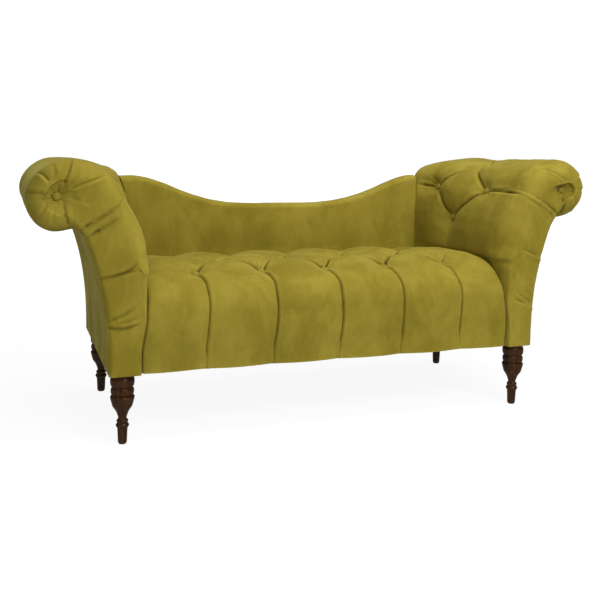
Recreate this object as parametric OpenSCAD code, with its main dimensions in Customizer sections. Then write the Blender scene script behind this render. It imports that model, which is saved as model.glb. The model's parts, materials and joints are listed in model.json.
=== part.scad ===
/* [Overall] */
// Width across the two rolled arms
overall_w = 1676; // [1630:2:1740]
// Height to the top of the rolled arms
overall_h = 754; // [730:2:780]
// Depth from the front border to the outer back
depth = 585; // [560:5:620]
// Height of the turned legs and their glides
leg_h = 190; // [170:2:210]

/* [Seat] */
// Height of the seat's crown above the floor
seat_h = 460; // [445:1:475]
// Height of the rounding over the front border
seat_edge_h = 112; // [90:2:125]
// Depth of the rounding over the front border
seat_edge_d = 175; // [160:5:190]
// Fall of the crown where it meets the arms
seat_side_drop = 38; // [30:1:44]
// Fall of the crown where it meets the back
seat_back_drop = 14; // [6:1:20]
// Width of the end puff between the outermost button and the arm at the border
end_puff_w = 166; // [150:2:190]
// Distance between one row of buttons and the next
tuft_row = 139; // [125:1:145]
// Distance from the front border to the first row
tuft_first = 119; // [110:1:130]
// Depth of the pleats between the buttons
pleat_d = 12; // [8:1:15]
// Further depth at each button
tuft_d = 12; // [8:1:14]
// Velvet and wadding over the front rail
border_t = 22; // [18:1:26]
// Velvet and wadding over the seat foam
seat_pad = 57; // [54:1:62]

/* [Arms] */
// Diameter of the roll
roll_d = 180; // [164:2:190]
// Reach of each roll past the base
roll_reach = 200; // [190:1:214]
// Drop from the top of the roll to the neck under it
neck_drop = 195; // [184:1:212]
// Width of each arm's foot at the front border
arm_front_w = 88; // [78:1:108]
// Width of each arm's foot where it meets the back
arm_rear_w = 138; // [123:1:148]
// Lean of the outer panel from the base to the neck
neck_out = 60; // [50:1:70]
// Radial size of the soft front edge
edge_r = 64; // [54:1:70]
// Depth of the soft front edge
edge_d = 80; // [70:1:90]
// Velvet and wadding of the inner face and the roll
arm_pad = 27; // [25:1:30]
// Foam behind the cover on the inner face
arm_foam_t = 17; // [12:1:20]
// Foam round the roll
roll_foam_t = 13; // [10:1:16]
// Thickness of the outer panel
outer_t = 8; // [6:1:10]
// Thickness of the pleated front panel
front_pad = 34; // [32:1:38]
// Distance between the two buttons of one height
arm_tuft_pitch = 240; // [220:4:256]
// Distance of the middle buttons behind the front border
arm_tuft_y = 335; // [325:1:345]
// Depth of the scroll button in the front panel
scroll_button_d = 25; // [20:1:27]

/* [Back] */
// Thickness of the upholstered back
back_t = 52; // [50:1:60]
// Height of the back's top edge at its middle
back_low_h = 588; // [570:2:610]
// Rise of the top edge from the middle to the arms
back_rise = 94; // [80:2:104]
// Velvet and wadding of the inner back
back_pad = 7; // [5:1:9]
// Radius of the back's soft top edge
back_round = 20; // [16:1:24]

/* [Frame] */
// Thickness of the hardwood rails
rail_t = 24; // [20:1:26]
// Height of the hardwood rails
rail_h = 110; // [100:1:115]
// Width of the square corner posts
post_w = 75; // [70:1:82]
// Thickness of the plywood scroll boards
board_t = 18; // [15:1:20]
// Thickness of the plywood frame of the back
back_frame_t = 20; // [16:1:21]
// Thickness of the hardboard panels
hardboard_t = 3; // [2:0.5:4]
// Thickness of the outer back and rear arm panels
cloth_t = 3; // [2:0.5:4]
// Thickness of the wire of the seat springs
wire_d = 3.8; // [3:0.2:4.6]
// Half the width of a spring's zigzag
spring_amp = 24; // [16:1:26]

/* [Legs] */
// Distance of each leg's axis from the outer panel's foot
leg_side_inset = 41; // [38:1:53]
// Distance of the front legs' axes behind the border
leg_front_inset = 42; // [38:1:50]
// Distance of the rear legs' axes before the outer back
leg_rear_inset = 58; // [45:1:66]
// Diameter of a leg's widest ring
leg_d = 64; // [56:1:70]
// Diameter of the hanger bolts
bolt_d = 8; // [6:1:10]
// Length of the hanger bolts
bolt_l = 64; // [50:2:80]
// Height of the foot glides
glide_h = 3; // [2:0.5:5]
// Diameter of the foot glides
glide_d = 20; // [16:1:22]

/* [Buttons] */
// Diameter of a covered button
button_d = 22; // [18:1:25]
// Height of a covered button's dome
button_h = 7; // [5:0.5:8]
// Diameter of the tufting twine
twine_d = 2.4; // [2:0.2:3]
// Diameter of the washers that hold the twine
washer_d = 16; // [12:1:18]

/* [Hidden] */
$fn = 48;

// Clearance between neighbouring pieces
fit = 0.3;
// Overrun of a cut past a face
over = 1;
// Thickness of the steel leg plates, and so the height of the frame over the legs
plate_t = 2.5;
plate_d = 34;
dust_t = 1;
insulator_t = 2;
clip_t = 1.2;
clip_w = 14;
clip_l = 18;
washer_t = 2;
knot_d = 5;
shank_d = 6;
shank_h = 3;
bore_d = twine_d + 1;
nut_d = 12;
nut_h = 22;
pin_d = 3;
pin_h = 12;
stretcher_h = 60;

base_w = overall_w - 2 * roll_reach;
base_x = base_w / 2;
seat_front_w = base_w - 2 * arm_front_w;
seat_back_w = base_w - 2 * arm_rear_w;
// The outermost button of the front row, counted in pitches from the middle
outer_tuft_count = 2;
tuft_pitch = (seat_front_w / 2 - end_puff_w) / outer_tuft_count;
leg_x = base_x - leg_side_inset;
neck_h = overall_h - neck_drop;
front_y = -depth / 2;
back_y = depth / 2;
back_face_y = back_y - back_t;
frame_z = leg_h + plate_t;
rail_top = frame_z + rail_h;
arm_low = rail_top + fit;
rail_front_y = front_y + border_t;
frame_front_y = rail_front_y + fit;
frame_back_y = back_y - cloth_t - fit;
frame_x = base_x - outer_t - fit;

olive = [0.62, 0.56, 0.22];
dark_olive = [0.55, 0.49, 0.16];
foam = [0.9, 0.87, 0.75];
timber = [0.74, 0.57, 0.36];
plywood = [0.78, 0.63, 0.42];
hardboard = [0.5, 0.36, 0.22];
walnut = [0.24, 0.15, 0.1];

function mix(a, b, t) = a + (b - a) * t;
function clamp(v, lo, hi) = min(max(v, lo), hi);
function smooth(t) = t * t * (3 - 2 * t);
function curve(a, b, c, d, t) =
    (2 * b + (c - a) * t + (2 * a - 5 * b + 4 * c - d) * t * t + (3 * b - a - 3 * c + d) * t * t * t) / 2;
// How far a rounding of radial size r and depth d stands in at distance s from the face
function rounding(s, r, d) = s >= d ? 0 : r * (1 - sqrt(1 - pow(1 - s / d, 2)));
function reversed(list) = [for (i = [len(list) - 1:-1:0]) list[i]];

// Half the width of the seat at depth y, which the arms' inner faces follow
function side_x(y) =
    mix(seat_front_w, seat_back_w, clamp((y - front_y) / (back_face_y - front_y), 0, 1)) / 2;

// Tufting: a is along a row in pitches, b runs from 0 at the first row to 1 at the third
function off_line(v) = abs(v - round(v));
function puff(v) = sqrt(1 - pow(1 - 2 * off_line(v), 2));
function pillow(a, b) = puff(a + b) * puff(a - b);
function dimple(dx, dy, r) = exp(-(dx * dx + dy * dy) / (r * r));
dimple_share = 0.9;
dimple_r = button_d * dimple_share;

// Closed solids from rings of points, joined by two triangles per step
function quad(a, b, c, d, turned) = turned ? [[a, b, d], [b, c, d]] : [[a, b, c], [a, c, d]];
module from_rings(rings, turned, cap_a, cap_b) {
    n = len(rings[0]);
    polyhedron(
        points = [for (r = rings) each r],
        faces = concat(
            [for (r = [0:len(rings) - 2], i = [0:n - 1])
                each quad(r * n + i, r * n + (i + 1) % n, (r + 1) * n + (i + 1) % n, (r + 1) * n + i,
                    turned[r][i])],
            [for (t = cap_a) [t[2], t[1], t[0]]],
            [for (t = cap_b) [for (v = t) v + (len(rings) - 1) * n]]
        ),
        convexity = 10
    );
}
function fan_cap(n) = [for (i = [0:n - 3]) [n - 1, i, i + 1]];
function zip_cap(n) = [for (i = [0:n / 2 - 2]) each [[i, i + 1, n - 2 - i], [i, n - 2 - i, n - 1 - i]]];

// Seat: stations along its section, each with y, z, lean of the surface, share of the pleats' depth
seat_edge_z = seat_h - seat_edge_h;
seat_edge_y = front_y + seat_edge_d;
tuft_y = front_y + tuft_first;
tuft_steps = 4;
front_steps = 5;
tuft_lean = acos(1 - tuft_first / seat_edge_d);
bottom_pleat_share = 0.45;
edge_pleat_share = 0.65;
seat_back_y = back_face_y - fit;
seat_tail = (seat_back_y - tuft_y - 2 * tuft_row) / tuft_steps;
function seat_z(y) = y < seat_edge_y
    ? seat_edge_z + seat_edge_h * sqrt(1 - pow((seat_edge_y - y) / seat_edge_d, 2))
    : seat_h - seat_back_drop * pow((y - seat_edge_y) / (back_face_y - seat_edge_y), 2);
function seat_lean(y) = y < seat_edge_y ? acos((seat_edge_y - y) / seat_edge_d) : 90;
seat_stations = concat(
    [for (i = [0:2]) [front_y, mix(leg_h, seat_edge_z, i / 2), 0,
        mix(bottom_pleat_share, edge_pleat_share, i / 2)]],
    [for (i = [1:front_steps]) let (a = tuft_lean * i / front_steps)
        [seat_edge_y - seat_edge_d * cos(a), seat_edge_z + seat_edge_h * sin(a), a,
            mix(edge_pleat_share, 1, i / front_steps)]],
    [for (i = [1:2 * tuft_steps]) let (y = tuft_y + tuft_row * i / tuft_steps)
        [y, seat_z(y), seat_lean(y), 1]],
    [for (i = [1:tuft_steps]) let (y = tuft_y + 2 * tuft_row + seat_tail * i) [y, seat_z(y), 90, 1]]
);
// Columns across the seat: even steps as far as the last pleat, then shares of what is left to the arm
column_step_share = 1 / 8;
inner_columns = 18;
outer_column_shares = [0.3, 0.55, 0.76, 0.91, 1];
columns = concat([for (i = [0:inner_columns]) i], [for (s = outer_column_shares) inner_columns + s]);
all_columns = concat([for (i = [len(columns) - 1:-1:1]) -columns[i]], columns);
side_round = 72;
side_front_share = 0.2;
function column_x(c, y) = let (inner = inner_columns * column_step_share * tuft_pitch)
    abs(c) <= inner_columns ? c * column_step_share * tuft_pitch
    : sign(c) * mix(inner, side_x(y) - fit, abs(c) - inner_columns);
function seat_puff(a, b, edge_a) = let (
        k = abs(a),
        end = (k - outer_tuft_count) / (edge_a - outer_tuft_count) / 2)
    k <= outer_tuft_count ? pillow(a, b)
    : 1 - (1 - pow(puff(min(b, 1 - b)), 2)) * (1 - pow(puff(end), 2));
function row_of(y) = clamp((y - tuft_y) / (2 * tuft_row), 0, 1);
function button_near(a, b) = let (p = round(a + b), q = round(a - b)) [(p + q) / 2, (p - q) / 2];
function seat_sink(x, y, z, share) = let (
        a = x / tuft_pitch,
        b = row_of(y),
        near = button_near(a, b),
        run = y < tuft_y ? norm([y - tuft_y, z - seat_z(tuft_y)]) : y - tuft_y - near[1] * 2 * tuft_row,
        side = side_x(y) - fit)
    pleat_d * share * (1 - seat_puff(a, b, side / tuft_pitch))
        + (abs(near[0]) > outer_tuft_count ? 0 : tuft_d * dimple(x - near[0] * tuft_pitch, run, dimple_r))
        + seat_side_drop * mix(side_front_share, 1, share == 1 ? 1 : seat_lean(y) / 90)
            * rounding(side - abs(x), 1, side_round);
function seat_point(c, s) = let (
        sink = seat_sink(column_x(c, s[0]), s[0], s[1], s[3]),
        y = s[0] + sink * cos(s[2]))
    [column_x(c, y), y, s[1] - sink * sin(s[2])];
function seat_ring(c) = concat(
    [for (s = seat_stations) seat_point(c, s)],
    [[column_x(c, seat_back_y), seat_back_y, leg_h]]
);
// A triangle edge lies along each pleat
function seat_turned(c, i) = let (
        y = seat_stations[i][0],
        next = seat_stations[i + 1][0],
        a = (c + 0.5) * column_step_share,
        b = row_of((y + next) / 2))
    off_line(a + b) < off_line(a - b);
module seat_form() {
    rings = [for (c = all_columns) seat_ring(c)];
    last = len(seat_stations) - 1;
    turned = [for (c = all_columns) [for (i = [0:last + 1]) i < last && seat_turned(c, i)]];
    from_rings(rings, turned, fan_cap(len(seat_stations) + 1), fan_cap(len(seat_stations) + 1));
}
core_steps = 8;
// Section of the space for the foam and the frame under the cover, shrunk by a clearance
function core_section(gap, low) = let (
        ry = seat_edge_d - border_t - gap,
        rz = seat_edge_h - seat_pad - gap)
    concat(
        [[rail_front_y + gap, low]],
        [for (i = [0:core_steps]) let (a = 90 * i / core_steps)
            [seat_edge_y - ry * cos(a), seat_edge_z + rz * sin(a)]],
        [[back_face_y + (gap == 0 ? over : -fit - gap), seat_edge_z + rz],
            [back_face_y + (gap == 0 ? over : -fit - gap), low]]
    );
module across(half_w) {
    rotate([90, 0, 90])
        translate([0, 0, -half_w])
            linear_extrude(2 * half_w)
                children();
}
// Plan of the seat between the arms, shrunk by a clearance
module seat_plan(gap, from_y, to_y) {
    polygon([
        [-side_x(from_y) + gap, from_y], [side_x(from_y) - gap, from_y],
        [side_x(to_y) - gap, to_y], [-side_x(to_y) + gap, to_y]
    ]);
}
tuft_rows = [
    [for (i = [-2:2]) [i * tuft_pitch, tuft_y]],
    [for (i = [-2:1]) [(i + 0.5) * tuft_pitch, tuft_y + tuft_row]],
    [for (i = [-2:2]) [i * tuft_pitch, tuft_y + 2 * tuft_row]]
];
tuft_places = [for (row = tuft_rows) each row];
tuft_sink = pleat_d + tuft_d;
module at_seat_tuft(p) {
    lean = seat_lean(p[1]);
    translate([p[0], p[1] + tuft_sink * cos(lean), seat_z(p[1]) - tuft_sink * sin(lean)])
        rotate([90 - lean, 0, 0])
            children();
}
// The twine hangs from the foot of the button's shank
function twine_y(p) = p[1] + (tuft_sink + shank_h) * cos(seat_lean(p[1]));
function twine_top(p) = let (lean = seat_lean(p[1]))
    seat_z(p[1]) - (tuft_sink + shank_h) * sin(lean) - twine_d / 2 * cos(lean);
insulator_z = rail_top + fit + wire_d + fit + clip_t + fit;
foam_z = insulator_z + insulator_t + fit;

// Buttons stand on z = 0 of their place, with the shank below
module button() {
    rotate_extrude()
        polygon(concat(
            [[0, -shank_h], [shank_d / 2, -shank_h], [shank_d / 2, 0], [button_d / 2, 0]],
            [for (a = [15:15:90]) [button_d / 2 * cos(a), button_h * sin(a)]]
        ));
}
pocket_h = pleat_d + tuft_d + button_h;
module button_pocket() {
    cylinder(d = button_d + 2 * fit, h = pocket_h);
    translate([0, 0, -shank_h - fit])
        cylinder(d = shank_d + 2 * fit, h = shank_h + over);
}
module twine_bore(through) {
    translate([0, 0, -through])
        cylinder(d = bore_d, h = through);
}

module seat_cover() color(olive) {
    difference() {
        seat_form();
        across(seat_front_w / 2 + over)
            polygon(core_section(0, leg_h - over));
        for (p = tuft_places)
            at_seat_tuft(p)
                button_pocket();
        for (p = tuft_places)
            translate([p[0], twine_y(p), seat_edge_z])
                cylinder(d = bore_d, h = seat_h - seat_edge_z - tuft_sink);
    }
}
module seat_foam() color(foam) {
    difference() {
        intersection() {
            across(seat_front_w / 2)
                polygon(core_section(fit, foam_z));
            linear_extrude(overall_h)
                seat_plan(2 * fit, front_y, back_face_y);
        }
        for (p = tuft_places)
            translate([p[0], twine_y(p), foam_z - over])
                cylinder(d = bore_d, h = seat_h);
    }
}
module seat_insulator() color([0.62, 0.52, 0.36]) {
    translate([0, 0, insulator_z])
        linear_extrude(insulator_t)
            difference() {
                seat_plan(2 * fit, rail_front_y + fit, back_face_y - 2 * fit);
                for (p = tuft_places)
                    translate([p[0], twine_y(p)])
                        circle(d = bore_d);
            }
}

// Springs: ten zigzag wires from rail to rail, between the lines of buttons
spring_pitch = tuft_pitch / 2;
spring_columns = 5;
spring_bends = 11;
spring_from = rail_front_y + rail_t / 3;
spring_to = frame_back_y - rail_t / 3;
spring_straight = rail_t;
function spring_path(i) = let (
        n = spring_bends * 6,
        t = i / n,
        y = mix(spring_from + spring_straight, spring_to - spring_straight, t))
    [spring_amp * sin(180 * spring_bends * t), y];
function spring_points() = concat(
    [[0, spring_from]],
    [for (i = [0:spring_bends * 6]) spring_path(i)],
    [[0, spring_to]]
);
function offset_line(pts, w) = [for (i = [0:len(pts) - 1])
    let (
        a = pts[max(i - 1, 0)],
        b = pts[min(i + 1, len(pts) - 1)],
        d = (b - a) / norm(b - a))
    pts[i] + [-d[1], d[0]] * w];
spring_places = [for (i = [-spring_columns:spring_columns - 1]) (i + 0.5) * spring_pitch];
module seat_springs() color([0.55, 0.55, 0.57]) {
    pts = spring_points();
    for (x = spring_places)
        translate([x, 0, rail_top + fit])
            linear_extrude(wire_d)
                polygon(concat(offset_line(pts, wire_d / 2), reversed(offset_line(pts, -wire_d / 2))));
}
module spring_clips() color([0.4, 0.4, 0.42]) {
    slot_w = wire_d + 2 * fit;
    for (x = spring_places)
        for (y = [spring_from - clip_l / 3, spring_to - 2 * clip_l / 3])
            translate([x - clip_w / 2, y, rail_top])
                difference() {
                    cube([clip_w, clip_l, fit + wire_d + fit + clip_t]);
                    translate([(clip_w - slot_w) / 2, -over, -over])
                        cube([slot_w, clip_l + 2 * over, over + fit + wire_d + fit]);
                }
}
module seat_buttons() color(dark_olive) {
    for (p = tuft_places)
        at_seat_tuft(p)
            button();
}

// Arms: the right arm is modelled and the left arm mirrors it
roll_r = roll_d / 2;
roll_x = overall_w / 2 - roll_r;
roll_z = overall_h - roll_r;
neck_x = base_x + neck_out;
lean_power = 2.6;
// Inner face from the seat to the top of the roll, as shares of its width and of the height over
// the legs, at the front and where it meets the back
front_knot_shares = [[0, 0.418], [-0.056, 0.472], [-0.061, 0.557], [-0.005, 0.652], [0.207, 0.832],
    [0.521, 0.953], [1, 1]];
rear_knot_shares = [[0, 0.418], [0, 0.472], [0, 0.557], [0, 0.652], [0.025, 0.822],
    [0.222, 0.946], [1, 1]];
knot_steps = [1, 2, 2, 4, 4, 3];
low_button_index = 7;
high_button_index = 16;
roll_index = 14;
top_index = 18;
outer_height_shares = [0, 0.19, 0.38, 0.55, 0.7, 0.83, 0.93, 1];
under_index = 8;
roll_lead_angle = 30;
arc_from_angle = -100;
arc_to_angle = 80;
ring_n = 2 * (top_index + 1);
blend_power = 1.4;
function arm_blend(y) =
    pow(clamp((y - front_y - edge_d) / (back_face_y - front_y - edge_d), 0, 1), blend_power);
function knot(k, y) = let (
        s = mix(front_knot_shares[k], rear_knot_shares[k], arm_blend(y)),
        x = side_x(y))
    [mix(x, roll_x, s[0]), mix(leg_h, overall_h, s[1])];
function inner_knots(y) = concat(
    [[side_x(y), arm_low]],
    [for (k = [0:len(knot_steps)]) knot(k, y)],
    [[roll_x + roll_r * sin(roll_lead_angle), roll_z + roll_r * cos(roll_lead_angle)]]
);
function inner_line(y) = let (k = inner_knots(y)) concat(
    [[side_x(y), leg_h], [side_x(y), arm_low]],
    [for (i = [0:len(knot_steps) - 1], j = [0:knot_steps[i] - 1])
        curve(k[i], k[i + 1], k[i + 2], k[i + 3], j / knot_steps[i])],
    [k[len(knot_steps) + 1]]
);
function inward(line, i) = let (
        a = line[max(i - 1, 0)],
        b = line[min(i + 1, len(line) - 1)],
        d = (b - a) / norm(b - a))
    i <= 2 ? [1, 0] : i == top_index ? [0, -1] : [d[1], -d[0]];
function outer_x(z) = base_x + neck_out * pow(clamp((z - leg_h) / (neck_h - leg_h), 0, 1), lean_power);
function roll_point(i, inset) = let (
        a = mix(arc_from_angle, arc_to_angle, (i - under_index - 1) / (top_index - under_index - 1)))
    [roll_x, roll_z] + (roll_r - inset) * [cos(a), sin(a)];
under_shares = [0.5, 0.85];
// Outer side from the base up to the roll, standing in by n_out, and the roll by n_roll
function outer_point(i, n_roll, n_out) =
    i < under_index ? let (z = mix(leg_h, neck_h, outer_height_shares[i])) [outer_x(z) - n_out, z]
    : i > under_index ? roll_point(i, n_roll)
    : let (a = [neck_x - n_out, neck_h], b = roll_point(i + 1, n_roll))
        [mix(a[0], b[0], under_shares[0]), mix(a[1], b[1], under_shares[1])];
// How much of an inset holds at each point of the inner face: the front edge is tight by the seat
low_edge_shares = [0.1, 0.1, 0.3, 0.6, 0.85];
function edge_share(i) = i < len(low_edge_shares) ? low_edge_shares[i] : 1;
function inner_inset(i, n_in, n_roll) =
    mix(n_in, n_roll, smooth(clamp((i - roll_index) / (top_index - roll_index), 0, 1)));
// Closed section of the arm at depth y, standing in by three insets and by the tufts' own sink
function arm_ring(y, n_in, n_roll, n_out, edge = false, tufts = 0) = let (line = inner_line(y))
    concat(
        [for (i = [0:top_index])
            line[i] + inward(line, i)
                * (inner_inset(i, n_in, n_roll) * (edge ? edge_share(i) : 1) + tufts * arm_sink(i, y))],
        [for (i = [top_index:-1:0]) outer_point(i, n_roll, n_out)]
    );
arm_middle_y = front_y + arm_tuft_y;
arm_station = arm_tuft_pitch / 8;
arm_fade_shares = [0, 0, 0.25, 0.5, 0.75, 0.9, 1];
function arm_row(i) = i < middle_button_index
    ? clamp((i - low_button_index) / (middle_button_index - low_button_index), 0, 1) / 2
    : (1 + clamp((i - middle_button_index) / (high_button_index - middle_button_index), 0, 1)) / 2;
function arm_place(y) = (y - arm_middle_y) / arm_tuft_pitch;
// Buttons of one arm: index along the section, share of the pitch along the depth
middle_button_index = 11;
arm_tufts = [[low_button_index, 0], [middle_button_index, -1 / 2], [middle_button_index, 1 / 2],
    [high_button_index, 0]];
function arm_sink(i, y) = let (
        a = clamp(arm_place(y), -0.5, 0.5),
        fade = (i < len(arm_fade_shares) ? arm_fade_shares[i] : 1)
            * smooth(clamp((back_face_y + arm_station / 2 - y) / arm_station, 0, 1)),
        line = inner_line(y),
        near = [for (t = arm_tufts) dimple(norm(line[i] - line[t[0]]), y - arm_tuft_at(t), dimple_r)])
    fade * (pleat_d * (1 - pillow(a, arm_row(i))) * min(1, (y - front_y) / edge_d) + tuft_d * max(near));
function arm_tuft_at(t) = arm_middle_y + t[1] * arm_tuft_pitch;
edge_steps = 5;
rear_round = 8;
arm_stations = concat(
    [for (i = [0:edge_steps]) let (a = 90 * i / edge_steps) front_y + edge_d * (1 - cos(a))],
    [for (k = [-6:7]) arm_middle_y + k * arm_station],
    [back_y - rear_round, back_y - rear_round / 4, back_y]
);
outer_round = 12;
function edge_inset(y, r, d) =
    max(rounding(y - front_y, r, d), rounding(back_y - y, rear_round, rear_round));
function arm_turned(y, i) = let (a = clamp(arm_place(y), -0.5, 0.5), b = arm_row(i + 0.5))
    off_line(a - b) < off_line(a + b);
function skin_ring(y) = arm_ring(y, edge_inset(y, edge_r, edge_d), edge_inset(y, edge_r, edge_d),
    edge_inset(y, outer_round, outer_round), true, 1);
// Sections stand upright and run from the back to the front
module upright_rings(rings, turned) {
    n = len(rings[0]);
    from_rings(rings, turned, zip_cap(n), zip_cap(n));
}
module arm_form() {
    ys = reversed(arm_stations);
    upright_rings(
        [for (y = ys) [for (p = skin_ring(y)) [p[0], y, p[1]]]],
        [for (k = [0:len(ys) - 2]) [for (i = [0:ring_n - 1]) arm_turned((ys[k] + ys[k + 1]) / 2, i)]]
    );
}
core_stations = [arm_middle_y - arm_tuft_pitch / 2, arm_middle_y,
    arm_middle_y + arm_tuft_pitch / 2, back_face_y];
board_front_y = front_y + front_pad + fit;
board_back_y = frame_back_y - 2 * fit;
module arm_core(from_y, to_y, gap) {
    ys = reversed(concat([from_y], [for (y = core_stations) if (y > from_y && y < to_y) y], [to_y]));
    upright_rings(
        [for (y = ys) [for (p = arm_ring(y, arm_pad + gap, arm_pad + gap, outer_t + gap)) [p[0], y, p[1]]]],
        [for (y = ys) [for (i = [0:ring_n - 1]) false]]
    );
}
// Straight along the depth, from section points
module along(from_y, to_y) {
    translate([0, to_y, 0])
        rotate([90, 0, 0])
            linear_extrude(to_y - from_y)
                children();
}
module base_cut(gap) {
    translate([0, frame_front_y - gap, leg_h - over])
        cube([overall_w, frame_back_y - frame_front_y + 2 * gap, arm_low - leg_h + over]);
}
panel_in = 40;
panel_out = 10;
module front_panel_outline(gap) {
    polygon(arm_ring(front_y, panel_in - gap, panel_in - gap, panel_out - gap, true));
}
module rear_panel_outline(gap) {
    polygon(arm_ring(back_y, panel_out - gap, panel_out - gap, panel_out - gap));
}
module outer_band(t, gap) {
    outer = [for (i = [0:under_index - 1]) outer_point(i, 0, -gap)];
    inner = [for (i = [0:under_index - 1]) outer_point(i, 0, t)];
    polygon(concat(outer, reversed(inner)));
}
outer_from_y = front_y + outer_round + fit;
outer_to_y = back_y - panel_out;

module at_arm_tuft(t) {
    y = arm_tuft_at(t);
    line = inner_line(y);
    n = inward(line, t[0]);
    p = line[t[0]] + n * tuft_sink;
    translate([p[0], y, p[1]])
        rotate([0, atan2(-n[0], -n[1]), 0])
            children();
}
arm_twine_l = arm_pad + arm_foam_t + hardboard_t + seat_pad;
module arm_cover() {
    difference() {
        arm_form();
        intersection() {
            arm_core(board_front_y - over, back_y + over, 0);
            translate([0, board_front_y - fit, 0])
                cube([overall_w, depth, overall_h]);
        }
        along(front_y - over, board_front_y)
            front_panel_outline(fit);
        along(frame_back_y - fit, back_y + over)
            rear_panel_outline(fit);
        along(outer_from_y - fit, outer_to_y + fit)
            outer_band(outer_t + over, over);
        base_cut(fit);
        for (t = arm_tufts)
            at_arm_tuft(t) {
                button_pocket();
                twine_bore(arm_pad);
            }
    }
}
foam_in = arm_pad + fit + arm_foam_t;
foam_roll = arm_pad + fit + roll_foam_t;
module arm_foam() {
    difference() {
        intersection() {
            arm_core(board_front_y - over, board_back_y + over, fit);
            translate([0, board_front_y, leg_h])
                cube([overall_w, board_back_y - board_front_y, overall_h]);
        }
        along(board_front_y - over, board_back_y + over)
            polygon(arm_ring(front_y, foam_in, foam_roll, -arm_pad));
        base_cut(fit);
        for (t = arm_tufts)
            at_arm_tuft(t)
                twine_bore(arm_twine_l);
    }
}
module arm_hardboard() {
    outer = arm_ring(front_y, foam_in + fit, foam_roll + fit, outer_t);
    inner = arm_ring(front_y, foam_in + fit + hardboard_t, foam_roll + fit + hardboard_t, outer_t);
    last = ring_n - 1 - under_index - 1;
    difference() {
        along(board_front_y, board_back_y)
            polygon(concat([for (i = [1:last]) outer[i]], reversed([for (i = [1:last]) inner[i]])));
        base_cut(fit);
        for (t = arm_tufts)
            at_arm_tuft(t)
                twine_bore(arm_twine_l);
    }
}
board_in = foam_in + hardboard_t + 2 * fit;
board_roll = foam_roll + hardboard_t + 2 * fit;
module scroll_board(from_y) {
    difference() {
        along(from_y, from_y + board_t)
            polygon(arm_ring(front_y, board_in, board_roll, outer_t + 2 * fit));
        base_cut(fit);
        translate([roll_x, from_y - over, roll_z])
            rotate([-90, 0, 0])
                cylinder(d = bore_d, h = board_t + 2 * over);
    }
}
rail_from_y = board_front_y + board_t + fit;
rail_to_y = board_back_y - board_t - fit;
roll_rail_w = 40;
tack_rail_h = 50;
neck_rail_w = 22;
neck_rail_h = 44;
module roll_rail() {
    difference() {
        translate([roll_x - roll_rail_w / 2, rail_from_y, roll_z - roll_rail_w / 2])
            cube([roll_rail_w, rail_to_y - rail_from_y, roll_rail_w]);
        translate([roll_x, rail_from_y - over, roll_z])
            rotate([-90, 0, 0])
                cylinder(d = washer_d + 2 * fit, h = rail_t + over);
    }
}
module tack_rail() {
    translate([seat_front_w / 2 + board_in, rail_from_y, arm_low])
        cube([neck_rail_w, rail_to_y - rail_from_y, tack_rail_h]);
}
module neck_rail() {
    translate([outer_x(neck_h - neck_rail_h) - outer_t - 2 * fit - neck_rail_w, rail_from_y,
        neck_h - neck_rail_h])
        cube([neck_rail_w, rail_to_y - rail_from_y, neck_rail_h]);
}
module outer_arm_panel() {
    along(outer_from_y, outer_to_y)
        outer_band(outer_t, 0);
}
module arm_rear_panel() {
    along(back_y - cloth_t, back_y)
        rear_panel_outline(0);
}

// Front panel: rings from the outline in to a spine, which ends at the scroll button
spine_from = 6;
spine_to = 10;
panel_ring_shares = [1, 0.78, 0.52, 0.26];
panel_pleat_d = 8;
panel_edge_d = 6;
panel_fold_d = 6;
fold_indices = [3, 5, 7, 8];
function spine_point(ring, i) = let (j = min(i, ring_n - 1 - i))
    mix((ring[j] + ring[ring_n - 1 - j]) / 2, [roll_x, roll_z],
        smooth(clamp((j - spine_from) / (spine_to - spine_from), 0, 1)));
function spine_index(i) = min(i, ring_n - 1 - i, spine_to);
function at_roll(i) = smooth(clamp((min(i, ring_n - 1 - i) - spine_from) / (spine_to - spine_from), 0, 1));
function is_fold(i) = len([for (f = fold_indices) if (f == min(i, ring_n - 1 - i)) f]);
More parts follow.
